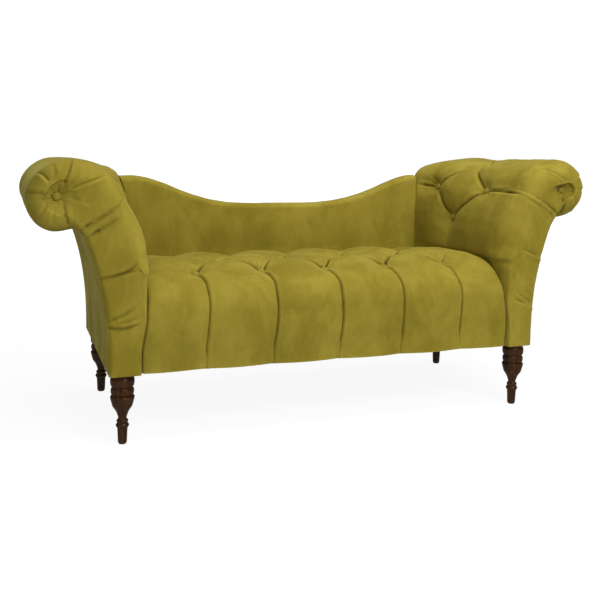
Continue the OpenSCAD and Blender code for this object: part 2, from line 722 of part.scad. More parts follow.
// How deep the front surface lies at outline point i and share s of the way out from the spine
function panel_sink(i, s) = let (r = at_roll(i))
    panel_edge_d * pow(s, 4)
        + r * scroll_button_d * pow(1 - s, 2)
        + r * panel_pleat_d * (i % 2) * s * (1 - s) * 4
        + (1 - r) * panel_fold_d * is_fold(i) * (1 - s * s);
module arm_front_panel() {
    ring = arm_ring(front_y, panel_in, panel_in, panel_out, true);
    n = ring_n;
    m = len(panel_ring_shares);
    spine_n = spine_to + 1;
    front = concat(
        [for (s = panel_ring_shares, i = [0:n - 1]) let (p = mix(spine_point(ring, i), ring[i], s))
            [p[0], front_y + panel_sink(i, s), p[1]]],
        [for (i = [0:spine_to]) let (p = spine_point(ring, i)) [p[0], front_y + panel_sink(i, 0), p[1]]]
    );
    back = [for (i = [0:n - 1]) [ring[i][0], front_y + front_pad, ring[i][1]]];
    back_at = len(front);
    difference() {
        polyhedron(
            points = concat(front, back),
            faces = concat(
                [for (k = [0:m - 2], i = [0:n - 2])
                    each quad(k * n + i, k * n + i + 1, (k + 1) * n + i + 1, (k + 1) * n + i, false)],
                [for (i = [0:n - 2]) let (a = (m - 1) * n + i, u = m * n + spine_index(i),
                        v = m * n + spine_index(i + 1))
                    each u == v ? [[a, a + 1, u]] : [[a, a + 1, v], [a, v, u]]],
                [for (t = zip_cap(n)) [for (v = reversed(t)) v + back_at]],
                [for (i = [0:n - 2]) each quad(back_at + i, back_at + i + 1, i + 1, i, false)],
                [for (k = [0:m - 2]) each [
                    [k * n, (k + 1) * n, back_at], [(k + 1) * n + n - 1, k * n + n - 1, back_at + n - 1]]],
                [[(m - 1) * n, m * n, back_at], [m * n, (m - 1) * n + n - 1, back_at + n - 1],
                    [m * n, back_at + n - 1, back_at]]
            ),
            convexity = 10
        );
        base_cut(fit);
        at_scroll_button() {
            button_pocket();
            twine_bore(front_pad);
        }
    }
}
module at_scroll_button() {
    translate([roll_x, front_y + scroll_button_d, roll_z])
        rotate([90, 0, 0])
            children();
}

module left_arm_cover() color(olive) mirror([1, 0, 0]) arm_cover();
module right_arm_cover() color(olive) arm_cover();
module left_arm_foam() color(foam) mirror([1, 0, 0]) arm_foam();
module right_arm_foam() color(foam) arm_foam();
module left_arm_front_panel() color(olive) mirror([1, 0, 0]) arm_front_panel();
module right_arm_front_panel() color(olive) arm_front_panel();
module left_arm_rear_panel() color(olive) mirror([1, 0, 0]) arm_rear_panel();
module right_arm_rear_panel() color(olive) arm_rear_panel();
module left_outer_arm_panel() color(olive) mirror([1, 0, 0]) outer_arm_panel();
module right_outer_arm_panel() color(olive) outer_arm_panel();
module left_arm_hardboard() color(hardboard) mirror([1, 0, 0]) arm_hardboard();
module right_arm_hardboard() color(hardboard) arm_hardboard();
module left_front_scroll_board() color(plywood) mirror([1, 0, 0]) scroll_board(board_front_y);
module right_front_scroll_board() color(plywood) scroll_board(board_front_y);
module left_rear_scroll_board() color(plywood)
    mirror([1, 0, 0]) scroll_board(board_back_y - board_t);
module right_rear_scroll_board() color(plywood) scroll_board(board_back_y - board_t);
module left_roll_rail() color(timber) mirror([1, 0, 0]) roll_rail();
module right_roll_rail() color(timber) roll_rail();
module left_tack_rail() color(timber) mirror([1, 0, 0]) tack_rail();
module right_tack_rail() color(timber) tack_rail();
module left_neck_rail() color(timber) mirror([1, 0, 0]) neck_rail();
module right_neck_rail() color(timber) neck_rail();
module arm_buttons() {
    for (t = arm_tufts)
        at_arm_tuft(t)
            button();
}
module left_arm_buttons() color(dark_olive) mirror([1, 0, 0]) arm_buttons();
module right_arm_buttons() color(dark_olive) arm_buttons();
module scroll_buttons() color(dark_olive) {
    for (side = [0, 1])
        mirror([side, 0, 0])
            at_scroll_button()
                button();
}

// Twines run from each shank to a washer behind what they draw in, with a knot behind the washer
module twine(length) {
    translate([0, 0, -length])
        cylinder(d = twine_d, h = length);
    translate([0, 0, -length])
        sphere(d = knot_d);
}
module washer(length) {
    translate([0, 0, knot_d / 2 - length])
        difference() {
            cylinder(d = washer_d, h = washer_t);
            translate([0, 0, -over])
                cylinder(d = bore_d, h = washer_t + 2 * over);
        }
}
// Distance from point p along n to a line of points
function reach(p, n, line) = min([for (i = [0:len(line) - 2]) let (
        e = line[i + 1] - line[i],
        w = line[i] - p,
        s = cross(w, e) / cross(n, e),
        u = cross(w, n) / cross(n, e))
    if (s > 0 && u >= 0 && u <= 1) s]);
hardboard_line = [for (i = [1:top_index]) arm_ring(front_y, board_in, board_roll, outer_t)[i]];
function arm_twine_length(t) = let (
        line = inner_line(arm_tuft_at(t)),
        n = inward(line, t[0]))
    max([for (s = [-1:1]) reach(line[t[0]] + n * tuft_sink + s * washer_d / 2 * [n[1], -n[0]], n,
        hardboard_line)]) + 2 * fit + washer_t + knot_d / 2;
scroll_twine_length = rail_from_y - front_y - scroll_button_d + washer_t + knot_d / 2;
function seat_twine_length(p) = twine_top(p) - insulator_z + fit + washer_t + knot_d / 2;
module at_each_twine() {
    for (p = tuft_places)
        translate([p[0], twine_y(p), twine_top(p) - fit]) {
            $twine_l = seat_twine_length(p) - fit;
            children();
        }
    for (side = [0, 1])
        mirror([side, 0, 0]) {
            for (t = arm_tufts)
                at_arm_tuft(t)
                    translate([0, 0, -shank_h - fit]) {
                        $twine_l = arm_twine_length(t) - shank_h - fit;
                        children();
                    }
            at_scroll_button()
                translate([0, 0, -shank_h - fit]) {
                    $twine_l = scroll_twine_length - shank_h - fit;
                    children();
                }
        }
}
module tufting_twines() color([0.85, 0.8, 0.66]) {
    at_each_twine()
        twine($twine_l);
}
module twine_washers() color([0.35, 0.25, 0.17]) {
    at_each_twine()
        washer($twine_l);
}

// Back: its top edge dips between the arms
scoop_power = 1.8;
back_columns = 32;
back_end_x = seat_back_w / 2 - 4 * fit;
back_crown = 5;
round_steps = 4;
back_low = insulator_z;
function scoop(x) =
    back_low_h + back_rise * pow(sin(90 * pow(min(1, 2 * abs(x) / seat_back_w), scoop_power)), 2);
function back_section(x, inset) = let (
        top = scoop(x) - inset,
        r = back_round - inset / 2,
        face = back_face_y + inset,
        rear = back_y - inset,
        crown = inset > 0 ? 0 : back_crown * (1 - pow(x / back_end_x, 2)))
    concat(
        [[face, back_low], [face, seat_h], [face - crown, mix(seat_h, top - r, 1 / 2)]],
        [for (i = [0:round_steps]) let (a = 90 * i / round_steps)
            [face + r - r * cos(a), top - r + r * sin(a)]],
        [for (i = [0:round_steps]) let (a = 90 * i / round_steps)
            [rear - r + r * sin(a), top - r + r * cos(a)]],
        [[rear, back_low]]
    );
module back_form(inset, half_w) {
    rings = [for (i = [0:back_columns]) let (x = mix(-half_w, half_w, i / back_columns))
        [for (p = back_section(x, inset)) [x, p[0], p[1]]]];
    n = len(rings[0]);
    from_rings(rings, [for (r = rings) [for (i = [0:n - 1]) false]], fan_cap(n), fan_cap(n));
}
back_cap = 24;
back_frame_y = frame_back_y - back_frame_t;
back_board_y = back_frame_y - fit - hardboard_t;
// Area behind the foam, under the top edge by the given depth
module under_scoop(half_w, low, drop) {
    polygon(concat(
        [[half_w, low], [-half_w, low]],
        [for (i = [0:back_columns]) let (x = mix(-half_w, half_w, i / back_columns)) [x, scoop(x) - drop]]
    ));
}
module back_frame_space() {
    along(back_board_y - fit, back_y + over)
        under_scoop(back_end_x + over, back_low - over, back_cap - fit);
}
module inner_back_cover() color(olive) {
    difference() {
        back_form(0, back_end_x);
        back_form(back_pad, back_end_x + over);
        translate([-overall_w / 2, back_face_y + back_pad, back_low - over])
            cube([overall_w, back_t - 2 * back_pad, back_pad]);
        back_frame_space();
    }
}
module back_foam() color(foam) {
    difference() {
        back_form(back_pad + fit, back_end_x);
        back_frame_space();
    }
}
module back_hardboard() color(hardboard) {
    along(back_board_y, back_board_y + hardboard_t)
        under_scoop(back_end_x, back_low, back_cap);
}
back_rail_h = 50;
stile_w = 60;
top_rail_z = back_low_h - back_cap - 2 * back_rail_h;
module back_top_rail() color(plywood) {
    along(back_frame_y, frame_back_y)
        under_scoop(back_end_x, top_rail_z, back_cap);
}
module back_bottom_rail() color(timber) {
    translate([-back_end_x, back_frame_y, back_low])
        cube([2 * back_end_x, back_frame_t, back_rail_h]);
}
module back_stiles() color(timber) {
    low = back_low + back_rail_h + fit;
    for (x = [-back_end_x, -stile_w / 2, back_end_x - stile_w])
        translate([x, back_frame_y, low])
            cube([stile_w, back_frame_t, top_rail_z - fit - low]);
}
module outer_back_cover() color(olive) {
    along(back_y - cloth_t, back_y)
        under_scoop(back_end_x, leg_h, back_cap);
}

// Base frame
post_x = frame_x - post_w;
module front_rail() color(timber) {
    translate([fit - post_x, frame_front_y, frame_z])
        cube([2 * (post_x - fit), rail_t, rail_h]);
}
module rear_rail() color(timber) {
    translate([fit - post_x, frame_back_y - rail_t, frame_z])
        cube([2 * (post_x - fit), rail_t, rail_h]);
}
module end_rail() {
    from = frame_front_y + post_w + fit;
    to = frame_back_y - post_w - fit;
    translate([frame_x - rail_t, from, frame_z])
        cube([rail_t, to - from, rail_h]);
}
module left_end_rail() color(timber) mirror([1, 0, 0]) end_rail();
module right_end_rail() color(timber) end_rail();
module seat_stretchers() color(timber) {
    from = frame_front_y + rail_t + fit;
    to = frame_back_y - rail_t - fit;
    for (x = [-tuft_pitch, tuft_pitch])
        translate([x - rail_t / 2, from, frame_z])
            cube([rail_t, to - from, stretcher_h]);
}
leg_front_y = front_y + leg_front_inset;
leg_rear_y = back_y - leg_rear_inset;
leg_places = [[-leg_x, leg_front_y], [leg_x, leg_front_y], [-leg_x, leg_rear_y], [leg_x, leg_rear_y]];
module corner_posts(from_y, leg_y) {
    for (side = [-1, 1])
        difference() {
            translate([side > 0 ? post_x : -frame_x, from_y, frame_z])
                cube([post_w, post_w, rail_h]);
            translate([side * leg_x, leg_y, frame_z - over])
                cylinder(d = bolt_d + 2 * fit, h = bolt_l / 2 + over);
            translate([side * leg_x, leg_y, frame_z - over])
                cylinder(d = nut_d + 2 * fit, h = nut_h + fit + over);
        }
}
module front_corner_posts() color(timber) corner_posts(frame_front_y, leg_front_y);
module rear_corner_posts() color(timber) corner_posts(frame_back_y - post_w, leg_rear_y);
module dust_cover() color([0.12, 0.12, 0.12]) {
    translate([0, 0, frame_z - fit - dust_t])
        linear_extrude(dust_t)
            difference() {
                polygon([[-frame_x, frame_front_y], [frame_x, frame_front_y],
                    [frame_x, frame_back_y], [-frame_x, frame_back_y]]);
                for (p = leg_places)
                    translate(p)
                        circle(d = plate_d + 2 * fit);
            }
}

// Legs: radius and height of the turning, as shares of the widest ring's radius and of the leg
leg_turning_shares = [
    [0.37, 0], [0.39, 0.1], [0.43, 0.225], [0.45, 0.245], [0.55, 0.285], [0.45, 0.32], [0.48, 0.35],
    [0.36, 0.385], [0.37, 0.405], [0.48, 0.44], [0.58, 0.48], [0.72, 0.52], [0.84, 0.555], [0.85, 0.575],
    [0.9, 0.6], [0.99, 0.66], [1, 0.685], [0.95, 0.7], [0.89, 0.71], [0.95, 0.735], [0.96, 0.77],
    [0.95, 0.8], [0.89, 0.825], [0.96, 0.85], [1, 0.895], [0.99, 0.935], [0.93, 0.96], [0.92, 1]
];
module leg() {
    h = leg_h - glide_h;
    difference() {
        rotate_extrude()
            polygon(concat(
                [[0, 0]],
                [for (s = leg_turning_shares) [s[0] * leg_d / 2, s[1] * h]],
                [[0, h]]
            ));
        translate([0, 0, h - bolt_l / 2 - over])
            cylinder(d = bolt_d + 2 * fit, h = bolt_l / 2 + 2 * over);
        translate([0, 0, -over])
            cylinder(d = pin_d + 2 * fit, h = pin_h + 2 * over);
    }
}
module at_leg(i) {
    translate([leg_places[i][0], leg_places[i][1], 0])
        children();
}
module front_left_leg() color(walnut) at_leg(0) translate([0, 0, glide_h]) leg();
module front_right_leg() color(walnut) at_leg(1) translate([0, 0, glide_h]) leg();
module rear_left_leg() color(walnut) at_leg(2) translate([0, 0, glide_h]) leg();
module rear_right_leg() color(walnut) at_leg(3) translate([0, 0, glide_h]) leg();
module leg_plates() color([0.6, 0.6, 0.62]) {
    for (i = [0:3])
        at_leg(i)
            translate([0, 0, leg_h])
                difference() {
                    cylinder(d = plate_d, h = plate_t);
                    translate([0, 0, -over])
                        cylinder(d = bolt_d + 2 * fit, h = plate_t + 2 * over);
                }
}
module hanger_bolts() color([0.7, 0.7, 0.72]) {
    for (i = [0:3])
        at_leg(i)
            translate([0, 0, leg_h - bolt_l / 2])
                cylinder(d = bolt_d, h = bolt_l);
}
module leg_nuts() color([0.72, 0.66, 0.4]) {
    for (i = [0:3])
        at_leg(i)
            translate([0, 0, frame_z])
                difference() {
                    cylinder(d = nut_d, h = nut_h);
                    translate([0, 0, -over])
                        cylinder(d = bolt_d + 2 * fit, h = nut_h + 2 * over);
                }
}
module foot_glides() color([0.2, 0.2, 0.2]) {
    for (i = [0:3])
        at_leg(i) {
            cylinder(d = glide_d, h = glide_h);
            cylinder(d = pin_d, h = glide_h + pin_h);
        }
}

seat_cover();
seat_foam();
seat_insulator();
seat_springs();
spring_clips();
seat_buttons();
left_arm_cover();
right_arm_cover();
left_arm_foam();
right_arm_foam();
left_arm_front_panel();
right_arm_front_panel();
left_arm_rear_panel();
right_arm_rear_panel();
left_outer_arm_panel();
right_outer_arm_panel();
left_arm_hardboard();
right_arm_hardboard();
left_front_scroll_board();
right_front_scroll_board();
left_rear_scroll_board();
right_rear_scroll_board();
left_roll_rail();
right_roll_rail();
left_tack_rail();
right_tack_rail();
left_neck_rail();
right_neck_rail();
left_arm_buttons();
right_arm_buttons();
scroll_buttons();
tufting_twines();
twine_washers();
inner_back_cover();
outer_back_cover();
back_foam();
back_hardboard();
back_top_rail();
back_bottom_rail();
back_stiles();
front_rail();
rear_rail();
left_end_rail();
right_end_rail();
seat_stretchers();
front_corner_posts();
rear_corner_posts();
dust_cover();
front_left_leg();
front_right_leg();
rear_left_leg();
rear_right_leg();
leg_plates();
hanger_bolts();
leg_nuts();
foot_glides();
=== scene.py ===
import json
import math

import bmesh
import bpy
import numpy as np
from mathutils import Matrix, Vector


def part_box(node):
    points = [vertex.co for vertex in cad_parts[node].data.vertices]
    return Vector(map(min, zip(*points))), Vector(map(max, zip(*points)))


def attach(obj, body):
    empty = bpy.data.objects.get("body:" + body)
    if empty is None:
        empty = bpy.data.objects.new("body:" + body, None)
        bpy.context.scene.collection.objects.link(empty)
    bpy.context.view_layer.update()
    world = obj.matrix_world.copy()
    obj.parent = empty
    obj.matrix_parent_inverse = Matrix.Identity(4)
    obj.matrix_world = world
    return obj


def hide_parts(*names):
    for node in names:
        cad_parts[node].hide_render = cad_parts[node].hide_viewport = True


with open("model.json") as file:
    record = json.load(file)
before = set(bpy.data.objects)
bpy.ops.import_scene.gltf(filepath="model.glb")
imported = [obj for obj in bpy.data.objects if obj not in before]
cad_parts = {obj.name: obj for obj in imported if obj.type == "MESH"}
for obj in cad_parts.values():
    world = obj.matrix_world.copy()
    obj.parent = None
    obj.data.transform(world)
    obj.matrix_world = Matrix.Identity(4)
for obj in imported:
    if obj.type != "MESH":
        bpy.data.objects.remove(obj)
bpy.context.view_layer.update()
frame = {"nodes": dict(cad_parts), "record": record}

# Sizes of the couch, in metres
WIDTH, HEIGHT, DEPTH = 1.676, 0.754, 0.585
FRONT, BACK = -DEPTH / 2, DEPTH / 2
GAP = 0.0003
# Base frame: half its width, the legs under it, the top of its rails and the face of its front rail
BASE_X, LEG_H, RAIL_TOP, FRAME_FRONT = 0.638, 0.190, 0.3025, FRONT + 0.0222
# Back: thickness, low point and rise of its scooped edge, rounding, lip behind it, and foot of its cover
BACK_T, BACK_LOW, BACK_RISE, BACK_ROUND, BACK_LIP, BACK_FOOT = 0.052, 0.588, 0.094, 0.020, 0.0236, 0.3084
BACK_FACE = BACK - BACK_T
# Seat: half width in front and behind, crown, rounded front edge, and falls to the sides and the back
SEAT_FRONT_X, SEAT_BACK_X, SEAT_BACK_Y = 0.550, 0.500, BACK_FACE - GAP
SEAT_H, EDGE_H, EDGE_D = 0.460, 0.112, 0.175
EDGE_Z, EDGE_Y = SEAT_H - EDGE_H, FRONT + EDGE_D
SIDE_DROP, BACK_DROP, FOAM_TOP, UNDER_TUCK = 0.038, 0.030, 0.4048, 0.012
BACK_END = SEAT_BACK_X - 4 * GAP
# The seat's columns stay straight up to here, and its hollow has a rounded edge of this depth and height
STRAIGHT_X, CORE_D, CORE_H = 0.43, 0.153, 0.055
# Tufting: the seat's button spacing, the first row's place, and the depths of pleats, buttons and pillows
PITCH, ROW, TUFT_Y = 0.192, 0.139, FRONT + 0.119
PLEAT, TUFT, FULL, GROOVE = 0.015, 0.015, 0.003, 0.0052
BUTTON_R, BUTTON_H, DIMPLE_R = 0.011, 0.007, 0.0225
# Arms: the roll, the neck under it, the front board, and the tufting
ROLL_R, NECK_H, NECK_OUT, BOARD_Y = 0.090, 0.559, 0.060, -0.2592
ROLL_X, ROLL_Z = WIDTH / 2 - ROLL_R, HEIGHT - ROLL_R
ARM_PITCH, ARM_RISE, ARM_MIDDLE, OVER_VEER, ARM_GROOVE = 0.240, 0.240, FRONT + 0.335, 0.075, 0.0050
# How far the rolls sink to the back, the left one hangs, and the outer side stands in under its panel
BACK_SAG, LEFT_DROOP, PANEL_IN = 0.010, 0.013, 0.0086
# How far the hollow for the foam and the boards stands in from the face, the roll and the outer side
HOLLOW_IN, HOLLOW_ROLL, HOLLOW_SIDE = 0.042, 0.036, 0.0098
# Size and depth of each arm's soft front edge, and place of the scroll's button
NOSE_D, NOSE = 0.080, {-1: (0.046, 0.060), 1: (0.066, 0.084)}
SCROLL_DEEP, SCROLL = 0.025, {-1: (ROLL_X + 0.015, ROLL_Z - 0.006), 1: (ROLL_X - 0.010, ROLL_Z)}


def mix(a, b, t):
    """From a to b by the share t."""
    return a + (b - a) * t


def smooth(t):
    """An eased step from 0 to 1."""
    t = np.clip(t, 0.0, 1.0)
    return t * t * (3 - 2 * t)


def xyz(x, y, z):
    """Points from their three coordinates, of any shapes that fit together."""
    return np.stack(np.broadcast_arrays(x, y, z), -1)


def link(obj):
    """Puts an object in the scene."""
    bpy.context.scene.collection.objects.link(obj)
    return obj


def steps_of(line):
    """Lengths of a line's steps."""
    return np.linalg.norm(np.diff(line, axis=0), axis=1)


def run_of(steps):
    """Distance run at each point of a line with those steps."""
    return np.concatenate([[0], np.cumsum(steps)])


def rounding(s, r, d):
    """How far a rounding of size r and depth d stands in at distance s from the face."""
    return r * (1 - np.sqrt(np.maximum(0.0, 1 - (1 - np.clip(s / d, 0, 1)) ** 2)))


def shallow(depth, most):
    """The depth, eased so that it never passes the most."""
    first = 0.55 * most
    return np.where(depth > first, first + (most - first) * np.tanh((depth - first) / (most - first)), depth)


def puff(v):
    """A pillow's rise between two creases, which lie at whole numbers."""
    return np.sqrt(np.maximum(0.0, 1 - (1 - 2 * np.abs(v - np.round(v))) ** 2))


def side_x(y):
    """Half the width of the seat at depth y."""
    return mix(SEAT_FRONT_X, SEAT_BACK_X, np.clip((y - FRONT) / (BACK_FACE - FRONT), 0, 1))


def waves(points, size, seed, count=7):
    """A gentle unevenness from -1 to 1, with bumps of about the given size."""
    rng = np.random.default_rng(seed)
    total = np.zeros(len(points))
    for _ in range(count):
        way = rng.normal(size=3)
        way *= rng.uniform(0.6, 1.5) * 2 * math.pi / size / np.linalg.norm(way)
        total += np.sin(points @ way + rng.uniform(0, 2 * math.pi))
    return total / count * 1.6


def spline(points, t):
    """Catmull-Rom curve through the points, at places counted in points."""
    points = np.asarray(points, float)
    t = np.asarray(t, float)
    i = np.clip(np.floor(t).astype(int), 0, len(points) - 2)
    f = (t - i)[:, None]
    last = len(points) - 1
    p0 = np.where((i == 0)[:, None], 2 * points[0] - points[1], points[np.maximum(i - 1, 0)])
    p1, p2 = points[i], points[i + 1]
    p3 = np.where((i + 1 == last)[:, None], 2 * points[last] - points[last - 1],
                  points[np.minimum(i + 2, last)])
    return (2 * p1 + (p2 - p0) * f + (2 * p0 - 5 * p1 + 4 * p2 - p3) * f ** 2
            + (3 * p1 - p0 - 3 * p2 + p3) * f ** 3) / 2


class Shell:
    """Points and faces of one piece, gathered as closed skins."""

    def __init__(self):
        self.points, self.faces, self.marks, self.count = [], [], [], 0
        self.started = 0

    def add(self, points, marks=None):
        """Adds points and gives the number of the first."""
        points = np.asarray(points, float).reshape(-1, 3)
        first = self.count
        self.points.append(points)
        self.marks.append(np.zeros(len(points)) if marks is None else np.asarray(marks, float).reshape(-1))
        self.count += len(points)
        return first

    def grid(self, points, around=False, marks=None):
        """Adds a grid of points with its faces, and gives the points' numbers."""
        rows, cols = points.shape[:2]
        first = self.add(points, marks)
        i = np.arange(rows - 1)[:, None] * cols
        j = np.arange(cols if around else cols - 1)[None, :]
        a, b = first + i + j, first + i + (j + 1) % cols
        self.faces += np.stack([a, b, b + cols, a + cols], -1).reshape(-1, 4).tolist()
        return first + np.arange(rows * cols).reshape(rows, cols)

    def strip(self, one, two, around=False):
        """Faces between two rows of points."""
        n = len(one)
        for k in range(n if around else n - 1):
            m = (k + 1) % n
            self.faces.append([int(one[k]), int(one[m]), int(two[m]), int(two[k])])

    def wall(self, out, inn):
        """Joins an open outer and an inner grid along their four sides."""
        for side in (0, -1):
            self.strip(out[:, side], inn[:, side])
            self.faces.append(out[side].tolist() + inn[side][::-1].tolist())

    def zip_cap(self, ring):
        """Closes a ring across, from one half to the other."""
        n = len(ring)
        for k in range(n // 2 - 1):
            self.faces.append([int(ring[k]), int(ring[k + 1]), int(ring[n - 2 - k]), int(ring[n - 1 - k])])

    def close(self, outward=True):
        """Turns the faces added since the last skin so that they all point the right way."""
        mesh = bpy.data.meshes.new("skin")
        mesh.from_pydata(np.concatenate(self.points).tolist(), [], self.faces[self.started:])
        work = bmesh.new()
        work.from_mesh(mesh)
        bmesh.ops.recalc_face_normals(work, faces=work.faces[:])
        if (work.calc_volume(signed=True) > 0) != outward:
            bmesh.ops.reverse_faces(work, faces=work.faces[:])
        self.faces[self.started:] = [[v.index for v in f.verts] for f in work.faces]
        self.started = len(self.faces)
        work.free()
        bpy.data.meshes.remove(mesh)

    def piece(self, name, material, sharp_from):
        """The finished mesh, which also carries the painted shade of its creases."""
        mesh = bpy.data.meshes.new(name)
        mesh.from_pydata(np.concatenate(self.points).tolist(), [], self.faces)
        # The crease attribute holds the painted shade that the velvet reads
        mesh.attributes.new("crease", "FLOAT", "POINT").data.foreach_set("value", np.concatenate(self.marks))
        work = bmesh.new()
        work.from_mesh(mesh)
        bmesh.ops.remove_doubles(work, verts=work.verts, dist=1e-6)
        bmesh.ops.dissolve_degenerate(work, edges=work.edges, dist=1e-7)
        bmesh.ops.delete(work, geom=[v for v in work.verts if not v.link_faces], context="VERTS")
        work.to_mesh(mesh)
        work.free()
        mesh.materials.append(material)
        mesh.shade_smooth()
        mesh.set_sharp_from_angle(angle=math.radians(sharp_from))
        return link(bpy.data.objects.new(name, mesh))


def grid_normals(points):
    """Normals of a grid of points, by differences."""
    n = np.cross(np.gradient(points, axis=1), np.gradient(points, axis=0))
    return n / np.maximum(np.linalg.norm(n, axis=-1, keepdims=True), 1e-12)


def fold(points, normals, line, deep, lip, width, start, end, valley=0.0, spread=0.02, side=1.0, step=0.0):
    """Height of a tucked fold along a line at each point of a skin. Lip and step stand on one side of it."""
    height = np.zeros(len(points))
    line = np.asarray(line, float)
    reach = max(6 * width, 3 * spread)
    lo, hi = line.min(0) - reach, line.max(0) + reach
    near = np.nonzero(((points > lo) & (points < hi)).all(1))[0]
    if not len(near):
        return height
    p, n = points[near], normals[near]
    best = np.full(len(near), 1e9)
    share, sign = np.zeros(len(near)), np.ones(len(near))
    lengths = steps_of(line)
    run = run_of(lengths)
    for k in range(len(line) - 1):
        way = line[k + 1] - line[k]
        t = np.clip((p - line[k]) @ way / max(way @ way, 1e-12), 0, 1)
        gap = p - line[k] - t[:, None] * way
        d = np.linalg.norm(gap, axis=1)
        closer = d < best
        best = np.where(closer, d, best)
        share = np.where(closer, (run[k] + t * lengths[k]) / run[-1], share)
        turn = np.einsum("ij,ij->i", np.cross(way[None, :], n), gap)
        sign = np.where(closer, np.sign(turn), sign)
    fade = smooth(share / start) * smooth((1 - share) / end)
    d = best * sign * side
    h = -deep * np.exp(-(best / width) ** 2) - valley * np.exp(-(best / spread) ** 1.3)
    h = h + lip * np.exp(-((d - 2.4 * width) / (1.7 * width)) ** 2)
    h = h + step * np.tanh(d / width) * np.exp(-(best / spread) ** 2)
    height[near] = h * fade
    return height


def creases(a, b, across, along, deep, lip, width):
    """Grooves along the lines where a + b or a - b is whole, for a and b in steps of across and along."""
    flat = (b <= 0) | (b >= 1)
    g = np.where(flat, 1 / across, math.hypot(1 / across, 1 / along))
    total = np.zeros(np.broadcast(a, b).shape)
    rise = np.zeros_like(total)
    for u in (a + b, a - b):
        d = (u - np.round(u)) / g
        total = np.maximum(total, np.exp(-(d / width) ** 2))
        rise = np.maximum(rise, np.exp(-((d - 2.6 * width) / (1.8 * width)) ** 2))
    return lip * rise - deep * total


def press(y, z):
    """How far an arm's full front stands over the side of the seat."""
    level = smooth((z - 0.235) / 0.11) * (1 - smooth((z - 0.425) / 0.075))
    return 0.015 * level * smooth((FRONT + 0.13 - y) / 0.11)


def dimple(d2, wide, share):
    """Shape of a button's dimple at a squared distance: a narrow part of that share, and a wide part."""
    return share * np.exp(-d2 / DIMPLE_R ** 2) + (1 - share) * np.exp(-d2 / wide ** 2)


def painted_fold_shade(lines, height, full, share):
    """The painted shade of a skin: in the tufting's creases, and up to the share in folds of the full depth.
    """
    first = 0.0016
    return np.maximum(lines ** 2.2 * 0.9, np.clip((-height - first) / (full - first), 0, 1) ** 1.5 * share)


def gathers(points, normals, centre, up, count, length, deep, seed, arc=(-180, 180)):
    """Little creases that fan out from a button."""
    rng = np.random.default_rng(seed)
    gap = points - centre
    near = np.nonzero(np.linalg.norm(gap, axis=1) < length * 2.6)[0]
    height = np.zeros(len(points))
    if not len(near):
        return height
    gap = gap[near]
    up = np.asarray(up, float) / np.linalg.norm(up)
    n = normals[near].mean(0)
    n /= np.linalg.norm(n)
    right = np.cross(up, n)
    right /= np.linalg.norm(right)
    top = np.cross(n, right)
    angle = np.degrees(np.arctan2(gap @ right, gap @ top))
    r = np.linalg.norm(gap, axis=1)
    total = np.zeros(len(near))
    for k in range(count):
        at = mix(arc[0], arc[1], (k + 0.5) / count) + rng.uniform(-0.3, 0.3) * (arc[1] - arc[0]) / count
        reach = length * rng.uniform(0.6, 1.15)
        bend = rng.uniform(-12, 12) * r / length
        off = np.radians((angle - at - bend + 180) % 360 - 180) * r
        width = 0.0020 + 0.055 * r
        total -= rng.uniform(0.6, 1.0) * np.exp(-(off / width) ** 2) * np.exp(-(r / reach) ** 2) \
            * smooth((r - 0.4 * BUTTON_R) / BUTTON_R)
    height[near] = deep * total
    return height


# Materials


def feed(tree, socket, value):
    """A value, colour or link for a node's socket."""
    if isinstance(value, Value):
        value = value.socket
    if isinstance(value, bpy.types.NodeSocket):
        tree.links.new(value, socket)
    elif socket.type == "RGBA":
        socket.default_value = (*value, 1.0)
    else:
        socket.default_value = value


def add_node(tree, kind, settings=None, inputs=None):
    """A node with its settings, which come first, and its sockets' values or links."""
    made = tree.nodes.new(kind)
    for name, value in (settings or {}).items():
        setattr(made, name, value)
    for name, value in (inputs or {}).items():
        feed(tree, made.inputs[name], value)
    return made


class Value:
    """A number or colour in a material. Python's operators add Math nodes."""

    def __init__(self, paint, socket):
        self.paint, self.socket = paint, socket

    def _math(self, operation, *others):
        return self.paint.node("ShaderNodeMath", {"operation": operation}, dict(enumerate(others)))["Value"]

    def __add__(self, other):
        return self._math("ADD", self, other)

    def __radd__(self, other):
        return self._math("ADD", other, self)

    def __mul__(self, other):
        return self._math("MULTIPLY", self, other)

    def __rmul__(self, other):
        return self._math("MULTIPLY", other, self)

    def larger(self, other):
        return self._math("MAXIMUM", self, other)


class Outputs:
    """A node's outputs as values."""

    def __init__(self, paint, node):
        self.paint, self.made = paint, node

    def __getitem__(self, name):
        return Value(self.paint, self.made.outputs[name])


